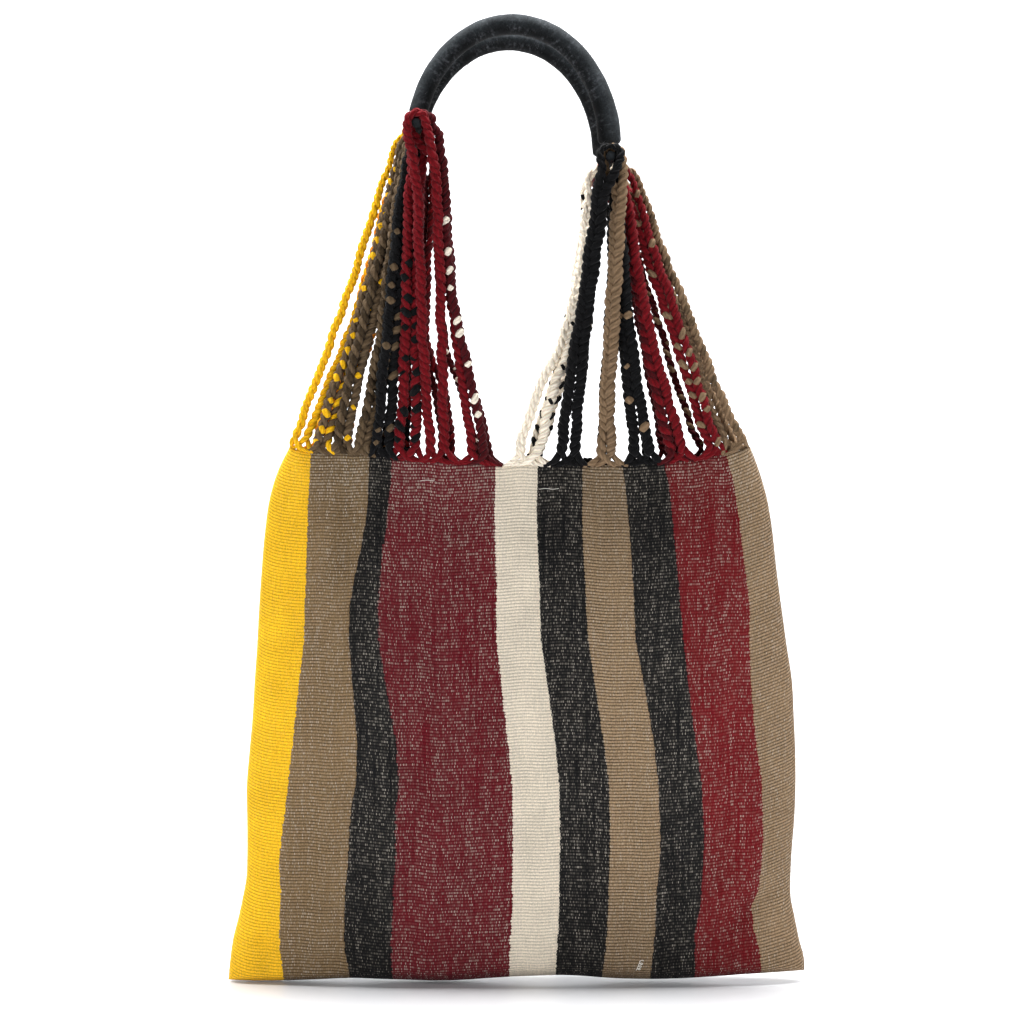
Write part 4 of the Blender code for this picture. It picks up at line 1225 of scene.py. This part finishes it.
def settle(points, radii, marks, free, first, second, owner):
    """Push the free points of all lines apart in level planes until the lines stand clear, and keep
    their moves even along each line."""
    start = points
    points = points.copy()
    a, b = np.triu_indices(len(first), 1)
    keep = (owner[a] != owner[b]) | (marks[a] * marks[b] < 0)
    a, b = a[keep], b[keep]
    inner = np.flatnonzero(free > 0)
    for turn in range(SETTLE_ROUNDS):
        near = segment_gaps(points, radii, first, second, a, b)[0] < SETTLE_REACH
        for push in range(SETTLE_PUSHES):
            points += free[:, None] * push_apart(points, radii, first, second, a[near], b[near])
            if turn < SMOOTH_ROUNDS and push < SMOOTH_PUSHES:
                moved = points - start
                mean = (moved[inner - 1] + moved[inner + 1]) / 2
                points[inner] += SMOOTHING * (mean - moved[inner])
    return points


def handle_lines(name):
    """The lines that the ropes keep clear of: the tube, and the bar and neck at each of its ends."""
    lines = [(arch_points(HANDLES[name]), TUBE_RADIUS)]
    for end in BAR_DROP:
        first, last, neck_top = bar_span(name, end)
        lines.append((np.array([first, last]), BAR_RADIUS))
        lines.append((np.array([bar_middle(name, end), neck_top]), NECK_RADIUS))
    return lines


def settled_ropes():
    """Each pair's table row as a dictionary with its name and place, its centre line and its radii,
    clear of one another."""
    rows = []
    ropes = []
    count = 0
    for (handle, end), table in ROPES.items():
        for label, row in table.items():
            rope = dict(zip(ROPE_COLUMNS, row))
            points, radii, marks, free = rope_points(rope, handle, end)
            index = np.arange(count, count + len(points))
            rows.append((points, radii, marks, free, index, np.roll(index, -1),
                         np.full(len(index), len(ropes))))
            name = f"{handle.replace('handle', 'rope')}_{end}_{label}"
            rope.update(name=name, label=label, handle=handle, end=end)
            ropes.append((rope, index))
            count += len(points)
    for handle in HANDLES:
        for line, radius in handle_lines(handle):
            index = np.arange(count, count + len(line))
            none = np.zeros(len(line))
            rows.append((line, none + radius, none[1:], none, index[:-1], index[1:], none[1:] - 1))
            count += len(line)
    lines = [np.concatenate(values) for values in zip(*rows)]
    points, radii = settle(*lines), lines[1]
    return [(rope, points[index], radii[index]) for rope, index in ropes]


# Ropes as they look


def gather_span(rope):
    """The stretch of the cloth's edge whose warps one pair gathers: from halfway to its neighbour on
    the left to halfway to the one on the right, and a little over."""
    base = rope["base"]
    bases = sorted(other[0] for other in ROPES[(rope["handle"], rope["end"])].values())
    at = bases.index(base)
    left = (bases[at - 1] + base) / 2 if at > 0 else base - TENT_MARGIN
    right = (bases[at + 1] + base) / 2 if at + 1 < len(bases) else base + TENT_MARGIN
    return left - TENT_OVERLAP, right + TENT_OVERLAP


def bezier(corners, steps):
    """A cubic Bezier curve through its first and last corner."""
    t = np.linspace(0.0, 1.0, steps)[:, None]
    a, b, c, d = corners
    return (1 - t) ** 3 * a + 3 * (1 - t) ** 2 * t * b + 3 * (1 - t) * t**2 * c + t**3 * d


def edge_points(shares, span, edge, lift):
    """Points on the cloth's edge at shares of a stretch of it, kept inside its corners."""
    x = span[0] + np.asarray(shares) * (span[1] - span[0])
    x = np.clip(x, edge[0, 0] + EDGE_INSET, edge[-1, 0] - EDGE_INSET)
    z = np.interp(x, edge[:, 0], edge[:, 2]) + lift
    return np.stack([x, np.interp(x, edge[:, 0], edge[:, 1]), z], axis=-1)


def strand_to_edge(start, inward, foot, outward, rise, cross):
    """A strand from its foot on the cloth's edge to the rope, as a cubic curve: it runs nearly flat
    along the edge, bulges outward where it crosses others, and turns up into the rope."""
    flat = foot + np.array([FAN_FLAT * (start[0] - foot[0]), 0.0, rise]) + outward * cross
    bent = start + inward * FAN_LEAD + outward * 0.5 * cross
    return bezier((foot, flat, bent, start), FAN_RINGS)


def add_tent(skin, base_x, span, edge, outward, finish):
    """More of the gathered warps: strands on cubic curves that lie along the cloth's edge from the
    pair's base to feet on both sides, thickest at the base."""
    base = edge_points([0.5], (base_x, base_x), edge, TENT_TOP)[0]
    radii = np.linspace(*TENT_RADII, FAN_RINGS)
    for k, foot in enumerate(edge_points(TENT_SHARES, span, edge, FOOT_LIFT)):
        sway = DICE.uniform(*TENT_SWAY_X) * X_AXIS + DICE.uniform(*TENT_SWAY_Z) * Z_AXIS
        cross = DICE.uniform(*TENT_CROSS)
        rise = 1.1 + 0.3 * (k % 3)
        flat = foot + np.array([TENT_FLAT * (base[0] - foot[0]), 0.0, rise]) + outward * cross
        path = bezier((foot, flat, base + sway - 2.0 * Z_AXIS, base + sway), FAN_RINGS)
        add_sweep(skin, path, radii, PLY_SIDES, base_x * PART_STEP + 5 + k, finish)


def ply_colours(leg, k, facing, turn, below, palette):
    """The colour of each ring of one ply: the last ply shows the fleck colour where it faces the front
    right, as far round as the leg's reach says, apart from turns that stay plain by chance. Near the
    crossbar, below which the rings lie by so much, most stay plain."""
    main, fleck, whole_reach = leg
    luck, size = DICE.random((2, int(turn.max()) + 1))[:, turn]
    often = FLECK_CHANCE * min(whole_reach / OFTEN_REACH, 1.0)
    chance = often * np.clip(below / FLECK_FADE, 0.0, 1.0)
    least, spread = FLECK_SIZES
    reach = whole_reach * (least + spread * size) if whole_reach < 1.0 else 1.0
    flecked = (facing > 1.0 - 2.0 * reach) & ((luck < chance) | (whole_reach >= 1.0))
    flecked &= k == PLIES - 1
    return np.where(flecked, palette.index(fleck), palette.index(main))


def draw_together(name, path, on_left):
    """Bring a pair's legs closer: at each height both move toward the middle between them, and one
    moves in front of the other. The change fades out at the cloth and under the crossbar."""
    if name not in HUGS:
        return path
    hug = dict(zip(HUG_COLUMNS, HUGS[name]))
    z = path[:, 2]
    left = np.interp(z, path[on_left, 2], path[on_left, 0])
    right = np.interp(z, path[~on_left, 2][::-1], path[~on_left, 0][::-1])
    middle = (left + right) / 2
    share = np.interp(-z, np.negative(HUG_HEIGHTS), [hug["upper"], hug["lower"]])
    room = np.minimum(z - z.min() - HUG_FREE[0], z.max() - z - HUG_FREE[1])
    share = 1.0 - (1.0 - share) * np.clip(room / HUG_MARGIN, 0.0, 1.0)
    moved = path.copy()
    moved[:, 0] = middle + (path[:, 0] - middle) * share
    moved[:, 1] += np.where(on_left, 1.0, -1.0) * hug["shift"] * (1.0 - share)
    return moved


def bulge_out(name, path, on_left):
    """Let a leg or its loop stand out where the photograph shows it, by a bell curve in z."""
    moved = path.copy()
    for row in BULGES.get(name, ()):
        bulge = dict(zip(BULGE_COLUMNS, row))
        bell = np.exp(-(((path[:, 2] - bulge["z"]) / bulge["reach"]) ** 2))
        bell = bell * (on_left == (bulge["leg"] < 0))
        moved[:, 0] += bulge["out_x"] * bell
        moved[:, 1] -= bulge["out_y"] * bell
    return moved


def leg_path(rope, line, walked, fine, starts):
    """A pair's centre line at fine steps, and which of them are on the left leg: the legs draw together
    toward the cloth, wander a little by sines of sines, and then hug and bulge as the tables say."""
    path = smooth_values(walked, line, fine)
    middle = line[[0, -1], 0].mean()
    low = np.clip((path[:, 2] - path[:, 2].min()) / SQUEEZE_HEIGHT, 0.0, 1.0)
    squeeze = SQUEEZE.get(rope["label"], 1.0)
    path[:, 0] = middle + (path[:, 0] - middle) * (squeeze + (1.0 - squeeze) * low)
    falloff = np.clip(np.minimum(fine, fine[-1] - fine) / WANDER_FADE, 0.0, 1.0)
    for axis, (short, long) in enumerate(WANDER_WAVES):
        sway = np.sin(fine / short + WANDER_BEND * np.sin(fine / long) + starts[axis])
        path[:, axis] += ROPE_WANDER * falloff * sway
    on_left = fine < fine[np.argmax(path[:, 2])]
    path = draw_together(rope["name"], path, on_left)
    return bulge_out(rope["name"], path, on_left), on_left


def leg_size(rope, radii, walked, fine, from_crown):
    """Thickness at fine steps as a share of a rope's: the CAD model's, thinner over the crossbar, times
    the pair's own thickness away from it."""
    size = smooth_values(walked, np.maximum(radii, ROPE_RADIUS * TOP_PINCH), fine) / ROPE_RADIUS
    pinch = np.clip(np.abs(from_crown) / TOP_PINCH_LENGTH, 0.0, 1.0)
    thickness = THICKNESS[rope["label"]] if rope["handle"] == "handle_front" else BACK_THICKNESS
    top_share = THICK_TOPS.get(rope["name"], TOP_PINCH)
    size = np.minimum(np.maximum(size, top_share), top_share + (1.0 - top_share) * pinch)
    return size * (1.0 + (thickness - 1.0) * pinch)


def make_rope(rope, line, radii, yarns):
    """A pair of legs as two plies each. A ply's line is the pair's centre line plus a turning
    offset across it, which makes a helix. Below the legs each ply leaves the helix on a cubic curve
    to its own foot on the cloth's edge."""
    name = rope["name"]
    legs = ROPE_LEGS[name]
    side = HANDLES[rope["handle"]]["side"]
    outward = side * Y_AXIS
    walked = run_length(line)
    fine = np.arange(0.0, walked[-1], PLY_RING)
    starts = DICE.uniform(0.0, 6.0, 4)
    path, on_left = leg_path(rope, line, walked, fine, starts)
    from_crown = fine - fine[np.argmax(path[:, 2])]
    size = leg_size(rope, radii, walked, fine, from_crown)
    first, second = across_path(path)
    twist = np.where(on_left, *TWISTS.get(name, USUAL_TWISTS))
    phase = 2 * math.pi * twist * from_crown / TWIST_PITCH + starts[2]
    for slip, length, k in TWIST_SLIPS:
        phase = phase + slip * np.sin(fine / length + starts[k])
    inner = (fine > FAN_START) & (fine < fine[-1] - FAN_START)
    below = path[:, 2].max() - path[:, 2]
    palette = sorted({colour for leg in legs for colour in leg[:2]})
    plies = []
    colours = []
    for k in range(PLIES):
        angle = phase + 2 * math.pi * k / PLIES
        offset = np.cos(angle)[:, None] * first + np.sin(angle)[:, None] * second
        plies.append((path + PLY_OFFSET * size[:, None] * offset)[inner])
        facing = offset @ unit(np.array(FLECK_FACING))
        turn = np.floor((angle - angle.min()) / (2 * math.pi)).astype(int)
        dyes = [ply_colours(leg, k, facing, turn, below, palette) for leg in legs]
        colours.append(np.where(on_left, *dyes)[inner])

    skin = Skin()
    edge = rim(side)
    span = gather_span(rope)
    add_tent(skin, rope["base"], span, edge, outward, colours[0][0])
    tint = [palette.index(fleck if reach > FOOT_REACH else main) for main, fleck, reach in legs]
    full = PLY_RADIUS * size[inner]
    taper = np.clip(np.linspace(*FAN_TAPER, FAN_RINGS)[:-1], 0.0, 1.0)
    for k, (ply, colour) in enumerate(zip(plies, colours)):
        fans = []
        for shares, ring, nearer, front in FANS:
            order = np.argsort(np.argsort([other[ring, 0] for other in plies]))[k]
            foot = edge_points(shares[order:order + 1], span, edge, FOOT_LIFT)[0]
            cross = FAN_CROSS if order == front else FAN_BEHIND
            inward = unit(ply[ring] - ply[nearer])
            rise = FAN_RISE + FAN_LAYER * k
            fans.append(strand_to_edge(ply[ring], inward, foot, outward, rise, cross))
        whole = np.concatenate([fans[0][:-1], ply, fans[1][::-1][1:]])
        thick = np.concatenate([taper * full[0], full, (taper * full[-1])[::-1]])
        s = np.arange(len(thick)) * PLY_RING
        thick *= 1.0 + PLY_UNEVEN * np.sin(s / 2.9 + 1.3 * np.sin(s / 9.0) + k * 2.1 + rope["base"])
        flecked = (colour != colours[0])[1:-1]
        thick[FAN_RINGS:-FAN_RINGS] *= 1.0 + FLECK_BULGE * flecked
        feet_dyes = tint if k == PLIES - 1 else colours[0][[0, -1]]
        dyes = np.concatenate([np.repeat(feet_dyes[0], FAN_RINGS - 1), colour,
                               np.repeat(feet_dyes[1], FAN_RINGS - 1)])
        add_sweep(skin, whole, thick, PLY_SIDES, rope["base"] * PART_STEP + k, dyes)
    reach = PLY_OFFSET + PLY_RADIUS * 0.9
    add_fibres(skin, ROPE_FIBRES, path[inner], reach * size[inner], tint[0])
    obj = skin.piece(name + "_plies", "twist", [yarns[colour] for colour in palette])
    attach(obj, "root")
    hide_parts(name)


# Loose threads


def on_panel(x, z, side):
    """The points of a panel straight in front of x and z: the seams at that height give the place
    across, and the height above the start of the bottom's bend gives the drop and the angle."""
    left, right = (smooth_curve(SIDE_EDGES, column, z) for column in (1, 2))
    place = (2 * x - left - right) / (right - left)
    top, bottom, bend = panel_edges(place)
    drop = np.clip((z - top) / (bottom + bend - top), 0.0, 1.0)
    angle = np.arcsin(np.clip((bottom + bend - z) / bend, 0.0, 1.0))
    return panel_points(place, drop, angle, side)


def make_loose_threads():
    """A small mend of white loops low on the right, two ends of weft that lie loose under the top edge,
    stray fibres along the side seams, and stray ends at the right corner of the top edge and in the
    handle. The loops are a circle that moves along a line."""
    skin = Skin()
    turn = np.linspace(0.0, 1.0, 70)
    loop = 2 * math.pi * MEND["loops"] * turn
    x = MEND["x"] + MEND["width"] * turn + MEND["reach"] * np.cos(loop)
    z = MEND["z"] + MEND["height"] * turn + 0.8 * MEND["reach"] * np.sin(loop)
    lift = 0.3 + 0.3 * np.abs(np.sin(loop))
    add_sweep(skin, on_panel(x, z, -1) - lift[:, None] * Y_AXIS, MEND["radius"], 6)
    for start, stop, height in LOOSE_WEFT:
        x = np.linspace(start, stop, 40)
        weft = on_panel(x, height + 0.25 * np.sin(x / 1.7), -1) - 0.2 * Y_AXIS
        add_sweep(skin, weft, WEFT_RADIUS, 6)
    for side in (-1.0, 1.0):
        drop = DICE.uniform(0.0, 1.0, SEAM_FIBRES)
        place = np.full(SEAM_FIBRES, side)
        roots = panel_points(place, drop, np.zeros(SEAM_FIBRES), -1) - 0.3 * side * X_AXIS
        ways = side * X_AXIS + DICE.uniform(-1.0, 1.0, (SEAM_FIBRES, 3)) * [0.3, 0.5, 1.0]
        for root, way, length in zip(roots, ways, DICE.uniform(*FIBRE_LENGTHS, SEAM_FIBRES)):
            line = fibre_line(root, way, -0.4 * Z_AXIS, length)[0]
            add_sweep(skin, line, FIBRE_RADIUS, 3, finish=1)
    t = np.linspace(0.0, 1.0, FIBRE_RINGS)[:, None]
    for start, stop, sag, dye in STRAY_ENDS:
        line = np.array(start) + t * np.subtract(stop, start) + t * (1.0 - t) * sag * Z_AXIS
        add_sweep(skin, line, STRAY_RADIUS, 5, finish=dye)
    obj = skin.piece("loose_threads", "along", [plain_thread(*dye) for dye in THREAD_DYES.items()])
    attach(obj, "root")


# Stage, light and camera


def add_light(name, place, target, size, power):
    """A soft rectangular lamp that faces the target."""
    data = bpy.data.lights.new(name, "AREA")
    data.shape = "RECTANGLE"
    data.size, data.size_y = size
    data.energy = power
    lamp = bpy.data.objects.new(name, data)
    lamp.location = np.multiply(place, MM)
    away = unit(np.subtract(place, target))
    lamp.rotation_euler = (math.acos(away[2]), 0.0, math.atan2(away[0], -away[1]))
    bpy.context.scene.collection.objects.link(lamp)


def make_stage():
    """A pale floor that curves up into a backdrop: a profile of a flat run, a quarter circle and an
    upright, carried along X."""
    turn = np.linspace(0.0, math.pi / 2, 40)
    bent = FLOOR_FLAT + FLOOR_BEND * np.sin(turn)
    y = np.concatenate([[-FLOOR_FRONT], bent, [FLOOR_FLAT + FLOOR_BEND]])
    z = np.concatenate([[0.0], FLOOR_BEND - FLOOR_BEND * np.cos(turn), [FLOOR_TOP]]) + FLOOR_Z
    x = np.linspace(-FLOOR_HALF, FLOOR_HALF, 12)
    profile = np.stack([np.zeros_like(y), y, z], axis=-1)
    points = profile[:, None] + x[None, :, None] * X_AXIS
    finish = Finish("studio_floor", 0.45, roughness=0.30)
    cloud = finish.noise(finish.place(), 2.0, 1.0)
    colour = finish.shade(linear(FLOOR_COLOUR)[:3], 0.992 + 0.016 * cloud)
    skin = Skin()
    skin.add(points[:, ::-1], np.zeros(points.shape))
    floor = skin.piece("studio_floor", "place", [finish.done(colour)])


def make_light():
    """Weak light from all around, and the lamps of the table."""
    world = bpy.data.worlds.new("surround")
    world.use_nodes = True
    sky = world.node_tree.nodes["Background"]
    sky.inputs["Color"].default_value = SKY_COLOUR
    sky.inputs["Strength"].default_value = SKY_STRENGTH
    bpy.context.scene.world = world
    for name, lamp in LAMPS.items():
        add_light(name, *lamp)


def make_camera():
    """A level camera in front of the bag, with the photograph's angle of view."""
    data = bpy.data.cameras.new("camera")
    data.sensor_fit = "HORIZONTAL"
    data.angle = CAMERA_ANGLE
    data.clip_start = 0.05
    data.clip_end = 50.0
    camera = bpy.data.objects.new("camera", data)
    camera.location = (0.0, -CAMERA_DISTANCE * MM, CAMERA_HEIGHT * MM)
    camera.rotation_euler = (math.pi / 2, 0.0, 0.0)
    bpy.context.scene.collection.objects.link(camera)
    bpy.context.scene.camera = camera


def make_all():
    """Every piece in turn. Their random draws follow this order."""
    make_camera()
    make_light()
    make_stage()
    bpy.context.scene.view_settings.view_transform = "Standard"
    make_body()
    finishes = [handle_cover(), plain_thread("lint", COVER_FIBRE_COLOUR)]
    for name in HANDLES:
        make_handle(name, finishes)
    yarns = {colour: rope_yarn(colour) for colour in ROPE_DYES}
    for rope, line, radii in settled_ropes():
        make_rope(rope, line, radii, yarns)
    make_loose_threads()


make_all()
